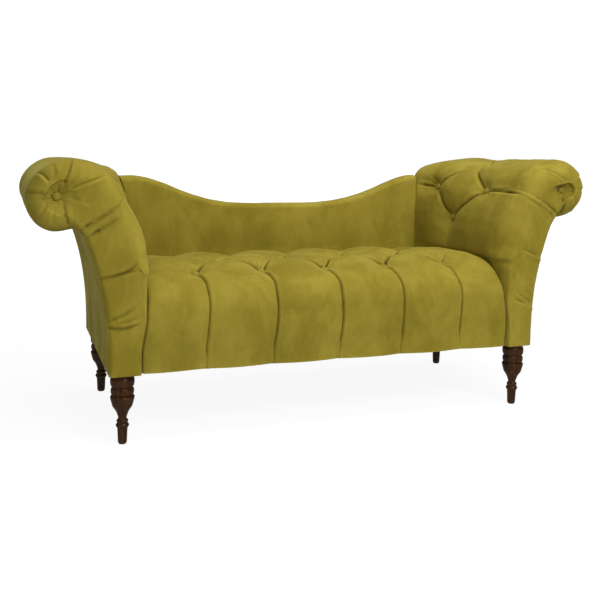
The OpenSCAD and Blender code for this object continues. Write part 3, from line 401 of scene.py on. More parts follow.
class Paint:
    """A material built from nodes, with constants on the shader's own sockets."""

    def __init__(self, name, **constants):
        self.material = bpy.data.materials.new(name)
        self.material.use_nodes = True
        self.tree = self.material.node_tree
        self.tree.nodes.clear()
        self.shader = self.tree.nodes.new("ShaderNodeBsdfPrincipled")
        self.out = self.tree.nodes.new("ShaderNodeOutputMaterial")
        self.tree.links.new(self.shader.outputs["BSDF"], self.out.inputs["Surface"])
        self.done(**constants)
        self.place = self.node("ShaderNodeTexCoord")["Object"]

    def node(self, kind, settings=None, inputs=None):
        return Outputs(self, add_node(self.tree, kind, settings, inputs))

    def stretched(self, scale, turn=(0, 0, 0)):
        inputs = {"Vector": self.place, "Scale": scale, "Rotation": turn}
        return self.node("ShaderNodeMapping", {}, inputs)["Vector"]

    def noise(self, scale, detail=2.0, rough=0.5, at=None, distortion=0.0):
        inputs = {"Vector": at or self.place, "Scale": scale, "Detail": detail, "Roughness": rough,
                  "Distortion": distortion}
        return self.node("ShaderNodeTexNoise", {}, inputs)["Fac"]

    def spread(self, value, lo, hi, to_lo=0.0, to_hi=1.0):
        """Eases the part of a value from lo to hi over another range."""
        inputs = {"Value": value, "From Min": lo, "From Max": hi, "To Min": to_lo, "To Max": to_hi}
        return self.node("ShaderNodeMapRange", {"interpolation_type": "SMOOTHSTEP"}, inputs)["Result"]

    def blend(self, factor, one, two):
        return self.node("ShaderNodeMix", {"data_type": "RGBA"}, {0: factor, 6: one, 7: two})[2]

    def bump(self, height, strength, distance, under=None):
        inputs = {"Height": height, "Strength": strength, "Distance": distance}
        if under is not None:
            inputs["Normal"] = under
        return self.node("ShaderNodeBump", {}, inputs)["Normal"]

    def done(self, **links):
        """Sets or links the shader's sockets, named with an underscore for each space."""
        for name, value in links.items():
            feed(self.tree, self.shader.inputs[name.replace("_", " ")], value)
        return self.material

    def finished(self, colour, rough, normal):
        return self.done(Base_Color=colour, Roughness=rough, Normal=normal)


# The velvet's colour in shade: painted into hollows and creases, and mixed into the darker brushed patches
SHADE = np.array((0.095, 0.069, 0.0045))


def velvet(name, body, light):
    """Short-pile velvet: the nap lies in brushed patches, darker and lighter, over a fine pile. Ridges get a
    painted highlight, hollows and creases painted shade.
    """
    body, light = np.array(body), np.array(light)
    p = Paint(name, Roughness=0.82, Sheen_Weight=0.20, Sheen_Roughness=0.36, Sheen_Tint=(0.80, 0.76, 0.22),
              Specular_IOR_Level=0.08)
    patches = p.noise(9.0, 3.0, 0.55, p.stretched((1.0, 1.3, 0.62), (0.1, 0.25, 0.0)), 0.5)
    strokes = p.noise(30.0, 2.5, 0.6, p.stretched((1.0, 0.8, 0.6), (0.35, 0.2, 0.3)), 0.9)
    rubs = p.noise(95.0, 2.0, 0.6, p.stretched((1.0, 0.6, 0.5), (0.0, 0.5, 0.1)))
    brushed = p.spread(patches * 0.66 + strokes * 0.22 + rubs * 0.12, 0.34, 0.68)
    colour = p.blend(brushed, mix(SHADE, body, 0.68), mix(body, light, 0.36))
    pile = p.noise(1500.0, 1.0, 0.5)
    tips = p.noise(520.0, 2.0, 0.6)
    colour = p.blend(p.spread(tips, 0.3, 0.75, 0.0, 0.22), colour, light)
    # Painted light by curvature: ridges and rounded edges take the lit colour as a painted highlight, and
    # hollows are painted toward the shade colour
    curvature = p.node("ShaderNodeNewGeometry")["Pointiness"]
    colour = p.blend(p.spread(curvature, 0.5, 0.56, 0.0, 0.28), colour, light)
    colour = p.blend(p.spread(curvature, 0.5, 0.42, 0.0, 0.55), colour, SHADE)
    # Painted shade along creases and folds, read from each piece's crease attribute
    crease_shade_mask = p.node("ShaderNodeAttribute", {"attribute_name": "crease"})["Fac"]
    colour = p.blend(p.spread(crease_shade_mask, 0.0, 1.0, 0.0, 0.72), colour, SHADE * 0.50)
    nap = p.bump(tips * 0.6 + strokes * 0.4, 0.22, 0.0012, p.bump(pile, 0.25, 0.0006))
    return p.finished(colour, p.spread(brushed, 0.0, 1.0, 0.88, 0.74), nap)


def lacquered_wood(name):
    """Dark brown stained hardwood under satin lacquer, with grain along its height."""
    p = Paint(name, Coat_Weight=0.18, Coat_Roughness=0.08, Specular_IOR_Level=0.0)
    long_grain = p.stretched((1.0, 1.0, 0.07))
    grain = p.noise(210.0, 3.0, 0.6, long_grain, 0.4)
    bands = p.noise(42.0, 2.0, 0.5, long_grain, 1.2)
    pores = p.noise(950.0, 1.0, 0.5, p.stretched((1.0, 1.0, 0.03)))
    colour = p.blend(p.spread(grain * 0.55 + bands * 0.45, 0.36, 0.66),
                     (0.030, 0.0105, 0.0022), (0.072, 0.028, 0.0070))
    colour = p.blend(p.spread(pores, 0.6, 0.72, 0.0, 0.6), colour, (0.02, 0.009, 0.003))
    curvature = p.node("ShaderNodeNewGeometry")["Pointiness"]
    # By the surface's curvature, the ridges of the turning are coloured lighter and its grooves near black
    colour = p.blend(p.spread(curvature, 0.53, 0.6, 0.0, 0.5), colour, (0.15, 0.075, 0.028))
    colour = p.blend(p.spread(curvature, 0.47, 0.4, 0.0, 0.75), colour, (0.007, 0.003, 0.0015))
    raised = p.bump(pores * 0.6 + grain * 0.4, 0.18, 0.0004)
    return p.finished(colour, p.spread(grain, 0.3, 0.7, 0.30, 0.46), raised)


def plain_wood(name, dark, light, long=(0.05, 1.0, 1.0), plies=False):
    """Sawn wood with its grain along one axis, and its plies where it is plywood."""
    p = Paint(name, Specular_IOR_Level=0.3)
    grain = p.noise(120.0, 4.0, 0.6, p.stretched(long), 0.6)
    bands = p.noise(18.0, 2.0, 0.5, p.stretched(long), 1.5)
    colour = p.blend(p.spread(grain * 0.6 + bands * 0.4, 0.35, 0.65), dark, light)
    if plies:
        layers = p.node("ShaderNodeTexWave", {"wave_type": "BANDS", "bands_direction": "Y"},
                        {"Vector": p.place, "Scale": 95.0, "Distortion": 0.4})["Fac"]
        colour = p.blend(layers * 0.35, colour, dark)
    saw = p.noise(600.0, 2.0, 0.6, p.stretched((1.0, 0.2, 1.0)))
    return p.finished(colour, p.spread(grain, 0.3, 0.7, 0.62, 0.8), p.bump(saw, 0.3, 0.0006))


def pressed_board(name, dark, light):
    """Fibres pressed hard, a little clouded."""
    p = Paint(name, Specular_IOR_Level=0.3)
    fibres = p.noise(420.0, 4.0, 0.7, p.place, 1.0)
    clouds = p.noise(30.0, 2.0)
    colour = p.blend(p.spread(fibres * 0.7 + clouds * 0.3, 0.35, 0.68), dark, light)
    return p.finished(colour, p.spread(clouds, 0.3, 0.7, 0.6, 0.78), p.bump(fibres, 0.3, 0.0005))


def cellular_foam(name):
    """Upholstery foam: fine cells, yellowed in patches."""
    p = Paint(name, Specular_IOR_Level=0.1)
    cells = p.node("ShaderNodeTexVoronoi", {"feature": "F1"}, {"Vector": p.place, "Scale": 520.0})["Distance"]
    yellowed = p.noise(7.0, 3.0)
    colour = p.blend(p.spread(yellowed, 0.35, 0.7), (0.86, 0.82, 0.66), (0.78, 0.68, 0.42))
    colour = p.blend(p.spread(cells, 0.1, 0.5, 0.35, 0.0), colour, (0.4, 0.33, 0.18))
    return p.finished(colour, p.spread(cells, 0.0, 0.6, 0.95, 0.85), p.bump(cells, 0.6, 0.001))


def woven(name, dark, light, scale=900.0, fuzz=0.3):
    """Coarse plain weave: threads over and under along X and Y."""
    p = Paint(name, Specular_IOR_Level=0.1, Sheen_Weight=0.15, Sheen_Roughness=0.5)
    bands = [p.node("ShaderNodeTexWave", {"wave_type": "BANDS", "bands_direction": d},
                    {"Vector": p.place, "Scale": scale / 6.283, "Distortion": 0.5, "Detail": 1.0,
                     "Detail Scale": 2.0})["Fac"] for d in ("X", "Y")]
    cloth = bands[0] * bands[1]
    dust = p.noise(24.0, 4.0, 0.6)
    slubs = p.noise(340.0, 2.0)
    colour = p.blend(p.spread(cloth, 0.05, 0.8), dark, light)
    colour = p.blend(p.spread(dust * 0.7 + slubs * 0.3, 0.45, 0.7, 0.0, fuzz), colour, light)
    return p.finished(colour, p.spread(cloth, 0.0, 1.0, 0.95, 0.8), p.bump(cloth, 0.5, 0.0008))


def metal(name, colour, rough, brushed=(1.0, 1.0, 1.0), tarnish=(0.1, 0.08, 0.06)):
    """Metal with drawing streaks and dull stains."""
    p = Paint(name, Metallic=1.0)
    streaks = p.noise(900.0, 2.0, 0.5, p.stretched(brushed))
    stains = p.noise(55.0, 3.0, 0.6)
    tint = p.blend(p.spread(stains, 0.5, 0.75, 0.0, 0.45), colour, tarnish)
    dull = p.spread(streaks * 0.5 + stains * 0.5, 0.3, 0.7, rough, rough + 0.2)
    return p.finished(tint, dull, p.bump(streaks, 0.12, 0.0003))


def moulded(name, colour, rough):
    """Moulded plastic, scuffed by the floor."""
    p = Paint(name, Specular_IOR_Level=0.4)
    grain = p.noise(1100.0, 2.0)
    scuffs = p.noise(80.0, 4.0, 0.7, p.stretched((1.0, 1.0, 0.3)))
    tint = p.blend(p.spread(scuffs, 0.55, 0.72, 0.0, 0.4), colour, (0.16, 0.15, 0.14))
    return p.finished(tint, p.spread(scuffs, 0.3, 0.7, rough, rough + 0.25), p.bump(grain, 0.2, 0.0002))


def waxed_cord(name):
    """Waxed twine, with its strands on a slant."""
    p = Paint(name, Specular_IOR_Level=0.35)
    strands = p.noise(1400.0, 1.0, 0.5, p.stretched((1.0, 1.0, 0.4), (0.6, 0.4, 0.0)))
    colour = p.blend(p.spread(strands, 0.35, 0.65), (0.5, 0.4, 0.24), (0.78, 0.68, 0.46))
    return p.finished(colour, p.spread(strands, 0.3, 0.7, 0.5, 0.7), p.bump(strands, 0.6, 0.0005))


FINISHES = {
    "velvet": velvet("olive_velvet", (0.247, 0.189, 0.0165), (0.385, 0.315, 0.050)),
    "button_velvet": velvet("button_velvet", (0.225, 0.178, 0.02), (0.34, 0.29, 0.05)),
    "walnut": lacquered_wood("lacquered_walnut"),
    "hardwood": plain_wood("hardwood_rail", (0.36, 0.2, 0.09), (0.62, 0.42, 0.22)),
    "plywood": plain_wood("birch_plywood", (0.42, 0.26, 0.12), (0.72, 0.52, 0.3), (1.0, 1.0, 0.05), True),
    "hardboard": pressed_board("hardboard", (0.14, 0.07, 0.03), (0.3, 0.17, 0.08)),
    "foam": cellular_foam("seat_foam_cells"),
    "insulator_cloth": woven("insulator_weave", (0.3, 0.2, 0.1), (0.58, 0.44, 0.27), 700.0),
    "dust_cloth": woven("dust_cloth_weave", (0.008, 0.008, 0.008), (0.04, 0.04, 0.042), 1100.0, 0.2),
    "spring_steel": metal("spring_wire", (0.36, 0.35, 0.34), 0.32, (1.0, 0.1, 1.0)),
    "zinc_steel": metal("zinc_plate", (0.62, 0.63, 0.66), 0.28),
    "brass": metal("turned_brass", (0.7, 0.5, 0.2), 0.24, (1.0, 1.0, 0.1), (0.2, 0.12, 0.04)),
    "twine": waxed_cord("waxed_twine"),
    "fibre": pressed_board("fibre_washer", (0.1, 0.05, 0.03), (0.22, 0.13, 0.07)),
    "nylon": moulded("nylon_glide", (0.03, 0.03, 0.03), 0.4),
}
VELVET = FINISHES["velvet"]
for part in frame["record"]["subparts"]:
    painted = frame["nodes"][part["node"]].data.materials
    painted.clear()
    painted.append(FINISHES[part["material_slot"]])


def fasten(piece, slot, *nodes, fill=None):
    """The piece goes with the couch and stands for those solids, which it hides. Slot and fill are not used.
    """
    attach(piece, "root")
    if nodes:
        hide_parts(*nodes)


# Seat cover


def seat_z(y):
    """Height of the seat's face before its tufting."""
    round_part = EDGE_Z + EDGE_H * np.sqrt(np.maximum(0, 1 - ((EDGE_Y - y) / EDGE_D) ** 2))
    flat_part = SEAT_H - BACK_DROP * np.clip((y - EDGE_Y) / (BACK_FACE - EDGE_Y), 0, 1) ** 1.6
    return np.where(y < EDGE_Y, round_part, flat_part)


def over_foam(sink, y):
    """The depth of the seat's pleats, eased so that the skin stays over the foam."""
    return shallow(sink, seat_z(y) - FOAM_TOP + 2 * np.maximum(0.0, EDGE_Y - y))


def seat_lean(y):
    """How far the seat's face is turned back from upright."""
    return np.where(y < EDGE_Y, np.arccos(np.clip((EDGE_Y - y) / EDGE_D, -1, 1)), math.pi / 2)


def finer(lo, hi, count, marks, reach, more):
    """Places from lo to hi, closer together round the marks."""
    fine = np.linspace(lo, hi, 4000)
    weight = np.ones(len(fine))
    for m in marks:
        weight += more * np.exp(-((fine - m) / reach) ** 2)
    run = run_of((weight[1:] + weight[:-1]) / 2)
    return np.interp(np.linspace(0, run[-1], count), run, fine)


def seat_section(count):
    """Places along the seat's section: y, z, lean, share of the pleats' depth, and distance run."""
    up = np.linspace(LEG_H, EDGE_Z, 60)[:-1]
    turn = np.linspace(0, math.pi / 2, 160)[:-1]
    face = np.linspace(EDGE_Y, SEAT_BACK_Y, 160)
    y = np.concatenate([np.full(len(up), FRONT), EDGE_Y - EDGE_D * np.cos(turn), face])
    z = np.concatenate([up, EDGE_Z + EDGE_H * np.sin(turn), seat_z(face)])
    run = run_of(np.hypot(np.diff(y), np.diff(z)))
    marks = [np.interp(TUFT_Y + k * ROW, y[len(up):], run[len(up):]) for k in range(3)]
    at = finer(0, run[-1], count, marks, 0.030, 1.6)
    y, z = np.interp(at, run, y), np.interp(at, run, z)
    lean = np.where(z < EDGE_Z - 1e-9, 0.0, seat_lean(y))
    share = np.where(z < EDGE_Z, mix(0.45, 0.65, (z - LEG_H) / (EDGE_Z - LEG_H)),
                     mix(0.65, 1.0, np.clip(lean / seat_lean(TUFT_Y), 0, 1)))
    share = np.where(y > TUFT_Y, 1.0, share)
    return y, z, lean, share, at


def column_x(c, side):
    """Straight columns in the tufted middle of the seat, and spread ones out to its sides."""
    k, out = STRAIGHT_X, np.abs(c)
    return np.sign(c) * np.where(out <= k, out, k + (out - k) * (side - k) / (SEAT_FRONT_X - k))


def seat_puff(a, b, edge_a):
    """Fullness of the diamonds between the buttons, and of the longer pillows at the sides."""
    k = np.abs(a)
    inner = puff(a + b) * puff(a - b)
    outer = 1 - (1 - puff(np.minimum(b, 1 - b)) ** 2) * (1 - puff((k - 2) / (edge_a - 2) / 2) ** 2)
    return np.where(k <= 2, inner, outer)


TUFTS = [(i * PITCH, TUFT_Y) for i in range(-2, 3)] \
    + [((i + 0.5) * PITCH, TUFT_Y + ROW) for i in range(-2, 2)] \
    + [(i * PITCH, TUFT_Y + 2 * ROW) for i in range(-2, 3)]


def seat_points(columns, rows):
    """The seat's tufted face as a grid of points, and how deep each lies in a crease, for the painted crease
    shade.
    """
    y, z, lean, share, at = seat_section(rows)
    marks = [0.5 * k * PITCH + 0.006 for k in range(-4, 5)]
    c = finer(-SEAT_FRONT_X, SEAT_FRONT_X, columns, marks, 0.020, 1.8)[:, None]
    side = side_x(y) - GAP - press(y, z)
    x = column_x(c, side)
    first_row = at[np.argmin(np.abs(y - TUFT_Y))]
    down = np.where(y < TUFT_Y, np.interp(at, [at[0], first_row], [1, 0]), 0.0)
    # The front pleats sway on their way down, and all creases stray a little between the buttons
    sway = (0.013 * np.sin(math.pi * down ** 0.9) + 0.004 * down) * smooth((side - np.abs(x)) / 0.10)
    flat = xyz(x, y, z).reshape(-1, 3)
    away = np.ones(x.shape)
    for bx, by in TUFTS:
        away = np.minimum(away, 1 - np.exp(-((x - bx) ** 2 + (y - by) ** 2) / 0.045 ** 2))
    sway = sway + 0.0045 * waves(flat, 0.13, 3).reshape(x.shape) * away
    # Place in steps across and along, and the same of the nearest button
    a = (x - sway) / PITCH
    b = np.clip((y - TUFT_Y) / (2 * ROW), 0, 1)
    p, q = np.round(a + b), np.round(a - b)
    near_a, near_b = (p + q) / 2, (p - q) / 2
    run = np.where(y < TUFT_Y, np.hypot(y - TUFT_Y, z - seat_z(TUFT_Y)), y - TUFT_Y - near_b * 2 * ROW)
    r2 = (x - near_a * PITCH) ** 2 + run ** 2
    spot = dimple(r2, 0.050, 0.62)
    drop = np.where(share < 1, lean / (math.pi / 2), 1.0)
    full = seat_puff(a, b, side / PITCH)
    inner = smooth((2.05 - np.abs(a)) / 0.06)
    groove = creases(a, b, PITCH, 2 * ROW, GROOVE, 0.0020, 0.0030) * inner
    sink = PLEAT * share ** 0.6 * (1 - full) - FULL * full - groove * mix(0.8, 1.0, share) \
        + np.where(np.abs(near_a) > 2, 0.0, TUFT * spot) \
        + SIDE_DROP * mix(0.2, 1.0, drop) * rounding(side - np.abs(x), 1.0, 0.072)
    sink = over_foam(sink, y)
    yy = y + sink * np.cos(lean) + UNDER_TUCK * (1 - smooth((z - LEG_H) / 0.13))
    zz = z - sink * np.sin(lean)
    xx = column_x(c, side_x(yy) - GAP - press(yy, zz))
    return xyz(xx, yy, zz), np.clip(-groove / GROOVE, 0, 1) * mix(0.55, 1.0, share)


def tuft_place(x, y, extra=0.0):
    """The bottom of a seat tuft, and the way that its button looks."""
    lean = seat_lean(y)
    sink = over_foam(PLEAT + TUFT, y) + extra
    return np.array([x, y + sink * np.cos(lean), seat_z(y) - sink * np.sin(lean)]), \
        np.array([0.0, -np.cos(lean), np.sin(lean)])


def on_skin(skin, places, weights=(1, 1, 1)):
    """The points of a skin nearest to the places."""
    return [skin[np.argmin((skin - np.array(q)) ** 2 @ weights)] for q in places]


def dense(points, step=0.006):
    """A smooth line through the points."""
    points = np.asarray(points, float)
    count = max(4, int(steps_of(points).sum() / step))
    return spline(points, np.linspace(0, len(points) - 1, count))


def seat_cover():
    """The seat's one cover: tufted face, drawn-over front, and the hollow that holds the foam."""
    columns, rows = 372, 266
    skin, lines = seat_points(columns, rows)
    normals = grid_normals(skin)
    if normals[columns // 2, rows - 20, 2] < 0:
        normals = -normals
    flat, nrm = skin.reshape(-1, 3), normals.reshape(-1, 3)
    height = np.zeros(len(flat))
    for k, (bx, by) in enumerate(TUFTS):
        centre, _ = tuft_place(bx, by)
        height += gathers(flat, nrm, centre, (0, 1, 0.2), 6, 0.046, 0.0062, 40 + k, (-68, 68))
        height += gathers(flat, nrm, centre, (0, 1, 0.2), 5, 0.026, 0.0030, 80 + k, (68, 292))
    height += 0.0011 * waves(flat, 0.16, 5) + 0.0004 * waves(flat, 0.05, 6)
    edge = smooth((side_x(flat[:, 1]) - GAP - np.abs(flat[:, 0])) / 0.012)
    back = smooth((SEAT_BACK_Y - flat[:, 1]) / 0.006)
    height = np.where(height > 0, np.minimum(height, 0.0028), height) * edge * back
    # Painted shade in the tufting's creases and the deeper gathers
    marks = painted_fold_shade(lines.reshape(-1), height, 0.0062, 0.6)
    moved = flat + nrm * height[:, None]
    moved[:, 1] = np.minimum(moved[:, 1], SEAT_BACK_Y)
    limit = side_x(moved[:, 1]) - GAP - press(moved[:, 1], moved[:, 2])
    moved[:, 0] = np.clip(moved[:, 0], -limit, limit)
    moved[:, 2] = np.maximum(moved[:, 2], LEG_H)
    skin = moved.reshape(columns, rows, 3)
    # The hollow for the foam and the frame
    a = np.linspace(0, math.pi / 2, 9)
    core_y = np.concatenate([[FRAME_FRONT, FRAME_FRONT], EDGE_Y - CORE_D * np.cos(a), [SEAT_BACK_Y]])
    core_z = np.concatenate([[LEG_H, EDGE_Z - 0.01], EDGE_Z + CORE_H * np.sin(a), [EDGE_Z + CORE_H]])
    hollow = xyz(np.linspace(-1, 1, columns)[:, None] * (side_x(core_y) - GAP), core_y, core_z)
    shell = Shell()
    shell.wall(shell.grid(skin, marks=marks), shell.grid(hollow))
    shell.close()
    fasten(shell.piece("tufted_seat", VELVET, 70), "velvet", "seat_cover", fill=0.75)


# Arms


# Shares of the inner line: across from the seat's side to the roll's middle, and up from the legs to the top
FRONT_SHARES = np.array([[0, 0.418], [-0.056, 0.472], [-0.061, 0.557], [-0.005, 0.652], [0.207, 0.832],
                         [0.521, 0.953], [1, 1]])
REAR_SHARES = np.array([[0, 0.418], [0, 0.472], [0, 0.557], [0, 0.652], [0.025, 0.822], [0.222, 0.946],
                        [1, 1]])
# The photographed left arm leans out further where it meets the back
LEFT_REAR_SHARES = np.array([[0, 0.418], [0, 0.472], [0.005, 0.557], [0.04, 0.652], [0.14, 0.822],
                             [0.37, 0.946], [1, 1]])
LINE_STEPS = (1, 2, 2, 4, 4, 3)
# Heights of the outer side's points, as shares of the way up to the neck
OUTER_SHARES = np.array([0, 0.19, 0.38, 0.55, 0.7, 0.83, 0.93, 1])
# Places along each half of a section, counted from 0 at the base
NECK_AT, ROLL_AT, TOP = 7, 9, 18
LOW_BUTTON, MIDDLE_BUTTON, HIGH_BUTTON = 7, 11, 16
# Each arm button: its place along the section, and its steps behind the arm's middle
ARM_TUFTS = ((LOW_BUTTON, 0.0), (MIDDLE_BUTTON, -0.5), (MIDDLE_BUTTON, 0.5), (HIGH_BUTTON, 0.0))
# Where the front's middle line leaves the section's own middle for the scroll button
SPINE_FROM, SPINE_TO = 6, 10
SIDES = {-1: "left", 1: "right"}


def on_roll(r, degrees):
    """Points at distance r round the middle of the roll."""
    a = np.radians(degrees)
    return np.stack([ROLL_X + r * np.cos(a), ROLL_Z + r * np.sin(a)], -1)


def inner_line(y, hand=1):
    """Points of an arm's inner face at depth y, from the base to the top of the roll."""
    blend = np.clip((y - FRONT - NOSE_D) / (BACK_FACE - FRONT - NOSE_D), 0, 1) ** 1.4
    share = mix(FRONT_SHARES, LEFT_REAR_SHARES if hand < 0 else REAR_SHARES, blend)
    side = side_x(y)
    rail = [side, RAIL_TOP + GAP]
    knots = np.column_stack([mix(side, ROLL_X, share[:, 0]), mix(LEG_H, HEIGHT, share[:, 1])])
    knots = np.vstack([rail, knots, on_roll(ROLL_R, 60.0)])
    line = [[side, LEG_H], rail]
    for i, steps in enumerate(LINE_STEPS):
        line += spline(knots[i:i + 4], 1 + np.arange(steps) / steps).tolist()
    return np.array(line + [knots[-2]])


def outer_x(z):
    """The arm's outer side at height z, which leans out up to the neck."""
    return BASE_X + NECK_OUT * np.clip((z - LEG_H) / (NECK_H - LEG_H), 0, 1) ** 2.6


def arm_samples(step=0.0036):
    """Even places along the inner half of the section."""
    places = np.linspace(0, TOP, 800)
    run = run_of(steps_of(spline(inner_line(ARM_MIDDLE), places)))
    return np.interp(np.linspace(0, run[-1], int(run[-1] / step)), run, places)


def outer_half(t, roll_in, out_in, dip=0.0):
    """Points of the outer side, under the roll and round it, at places t."""
    z = np.interp(t, range(len(OUTER_SHARES)), mix(LEG_H, NECK_H, OUTER_SHARES))
    side = np.stack([outer_x(z) - out_in, z], -1)
    r = ROLL_R - roll_in
    roll = on_roll(r - dip, mix(-100.0, 80.0, (t - ROLL_AT) / (TOP - ROLL_AT)))
    neck, first = np.array([BASE_X + NECK_OUT - out_in, NECK_H]), on_roll(r, -100.0)
    k = np.clip((t - NECK_AT) / (ROLL_AT - NECK_AT), 0, 1)[:, None]
    under = (1 - k) ** 2 * neck + 2 * k * (1 - k) * mix(neck, first, 0.5) + k ** 2 * first
    under[:, 1] += 0.006 * np.sin(math.pi * k[:, 0])
    return np.where((t < NECK_AT)[:, None], side, np.where((t > ROLL_AT)[:, None], roll, under))


def inward(line, t):
    """Ways in from the inner face, level beside the base frame."""
    d = np.gradient(line, axis=0)
    d /= np.maximum(np.linalg.norm(d, axis=1, keepdims=True), 1e-9)
    way = np.stack([d[:, 1], -d[:, 0]], -1)
    way[t <= 2] = (1, 0)
    return way


def room(y):
    """How far in the skin may lie: it stays off the foam and the boards behind the front."""
    return 0.0258 + 2.2 * np.maximum(0.0, BOARD_Y - y)


def before_back(y):
    """1 where an arm is tufted, falling to 0 beside the back."""
    return smooth((BACK_FACE + 0.012 - y) / 0.035)


class Arm:
    """One arm's skin: sections from the back to the front, then rings in to the scroll's middle."""

    def __init__(self, hand):
        self.hand = hand
        self.edge_r, self.edge_d = NOSE[hand]
        self.t = arm_samples()
        self.half = len(self.t)
        self.t_out = np.linspace(0, TOP, self.half)
        nose = FRONT + self.edge_d * (1 - np.sin(np.linspace(0, math.pi / 2, 26)[1:]))
        main = np.linspace(BACK - 0.010, FRONT + self.edge_d, int((DEPTH - self.edge_d) / 0.0048))
        rear = BACK - 0.010 + 0.010 * np.sin(np.linspace(math.pi / 2, 0, 6)[:-1])
        self.ys = np.unique(np.round(np.concatenate([rear, main, nose, [FRAME_FRONT]]), 7))[::-1]

    def settle(self, ring, y):
        """The rolls sink a little towards the back, and the left one hangs a little on its outer side."""
        ring = ring.copy()
        ring[:, 1] -= BACK_SAG * smooth((y - FRONT - 0.05) / 0.40) * smooth((ring[:, 1] - 0.62) / 0.10)
        if self.hand < 0:
            over = smooth((ring[:, 0] - 0.685) / 0.13) * smooth((ring[:, 1] - NECK_H) / 0.02)
            ring[:, 1] -= LEFT_DROOP * over
        return ring

    def bare(self, y):
        """Points and inward ways of the arm as the frame has it, which the skin is measured from."""
        line = spline(inner_line(y), self.t)
        out = outer_half(self.t_out, 0.0, 0.0)
        way_out = np.array([ROLL_X, ROLL_Z]) - out
        way_out /= np.linalg.norm(way_out, axis=1, keepdims=True)
        return np.vstack([line, out[::-1]]), np.vstack([inward(line, self.t), way_out[::-1]])

    def ring(self, y, inset=0.0):
        """A section's points, the room left under its skin, and the painted shade of its creases."""
        inner = spline(inner_line(y, self.hand), self.t)
        edge = rounding(y - FRONT, self.edge_r, self.edge_d)
        tail = rounding(BACK - y, 0.008, 0.010)
        # Low on the arm the front edge and the back edge are less round
        tight = np.interp(self.t, range(8), (0.12, 0.16, 0.3, 0.44, 0.58, 0.74, 0.88, 1.0))
        dip, mark = self.tufting(inner, y)
        inner = inner + inward(inner, self.t) * (max(edge, tail) * tight + inset + dip)[:, None]
        inner[:, 0] -= press(y, inner[:, 1])
        # One pleat runs over the roll from the top button, towards the back, with painted shade along its
        # crease
        past = y - ARM_MIDDLE - OVER_VEER - 0.055 * np.clip((TOP - self.t_out) / 3, 0, 1)
        over = smooth((self.t_out - 10.5) / 5) * before_back(y)
        hang = 1 - puff(np.clip(past / ARM_PITCH, -0.5, 0.5)) ** 2
        over_dip = over * (0.35 * PLEAT * hang + 0.0030 * np.exp(-(past / 0.0042) ** 2))
        over_mark = over * np.exp(-(past / 0.00336) ** 2)
        # Behind the front border the side stands in under the outer panel
        covered = PANEL_IN * smooth((y - (FRONT + 0.0118)) / 0.0006)
        side_in = max(rounding(y - FRONT, 0.016, 0.018), tail * 0.6) + covered + inset
        outer = outer_half(self.t_out, max(edge, tail) + inset, side_in, over_dip)
        ring = self.settle(np.vstack([inner, outer[::-1]]), y)
        base, way = self.bare(y)
        depth = np.einsum("ij,ij->i", ring - base, way)
        held = np.concatenate([self.t > 2, (self.t_out > ROLL_AT)[::-1]])
        eased = np.where(held, shallow(depth, room(y)), depth)
        spare = np.where(held, np.maximum(room(y) - eased, 0.0), 1.0)
        return ring + way * (eased - depth)[:, None], spare, np.concatenate([mark, over_mark[::-1]])

    def tufting(self, inner, y):
        """How far the tufted inner face draws in at each point, and the painted shade of its creases."""
        spots, near = np.zeros(self.half), np.zeros(self.half)
        for t, steps in ARM_TUFTS:
            q = inner[np.argmin(np.abs(self.t - t))]
            d2 = ((inner - q) ** 2).sum(1) + (y - ARM_MIDDLE - steps * ARM_PITCH) ** 2
            spots = np.maximum(spots, dimple(d2, 0.048, 0.68))
            near = np.maximum(near, np.exp(-d2 / 0.04 ** 2))
        past = smooth((self.t - HIGH_BUTTON) / (TOP - HIGH_BUTTON))
        a = np.clip((y - ARM_MIDDLE - OVER_VEER * past) / ARM_PITCH, -0.5, 0.5)
        b = np.interp(self.t, (LOW_BUTTON, MIDDLE_BUTTON, HIGH_BUTTON), (0, 0.5, 1))
        # The creases stray a little between the buttons
        stray = 0.010 * waves(xyz(y, inner[:, 0], inner[:, 1]), 0.14, 21 + self.hand)
        a = a + stray / ARM_PITCH * np.where(np.abs(a) < 0.5, 1 - near, 0.0)
        back = before_back(y)
        fade = np.interp(self.t, range(7), (0, 0, 0.12, 0.3, 0.5, 0.75, 1)) * back * mix(1, 0.35, past)
        line = np.interp(self.t, (0, 2, 6.5, 7.5), (0, 0.1, 0.75, 1)) * back * mix(1, 0.7, past) \
            * np.clip((y - FRONT - 0.01) / 0.05, 0, 1)
        groove = creases(a, b, ARM_PITCH, ARM_RISE, ARM_GROOVE, 0.0022, 0.0032) * line
        pillow = puff(a + b) * puff(a - b)
        deep = (PLEAT * (1 - pillow) - FULL * pillow) * min(1.0, (y - FRONT) / NOSE_D) + 1.15 * TUFT * spots
        return fade * deep - groove, np.clip(-groove / ARM_GROOVE, 0, 1)

    def place(self, ring, y):
        """Points in space of a section at depth y."""
        return xyz(self.hand * ring[:, 0], y, ring[:, 1])

    def spot(self, t, y):
        """Row and column of the skin's point at place t of the inner half, at depth y."""
        return int(np.argmin(np.abs(self.ys - y))), int(np.argmin(np.abs(self.t - t)))

    def front_rings(self, ring, count=30):
        """Rings from the front edge to the middle line, which ends at the scroll button."""
        n = 2 * self.half
        k = np.minimum(np.arange(n), np.arange(n)[::-1])
        at_roll = smooth((((self.t + self.t_out) / 2)[k] - SPINE_FROM) / (SPINE_TO - SPINE_FROM))
        centre = np.array(SCROLL[self.hand])
        middle = mix((ring[k] + ring[n - 1 - k]) / 2, centre, at_roll[:, None])
        rings = []
        for w in np.linspace(0, 1, count)[1:] ** 0.85:
            here = mix(ring, middle, w)
            far = np.linalg.norm(here - centre, axis=1)
            dip = (SCROLL_DEEP + 0.001) * np.clip(1.16 - far / 0.056, 0, 1) ** 1.7 * smooth(w / 0.12)
            rings.append(self.place(here, FRONT + dip))
        return np.stack(rings)

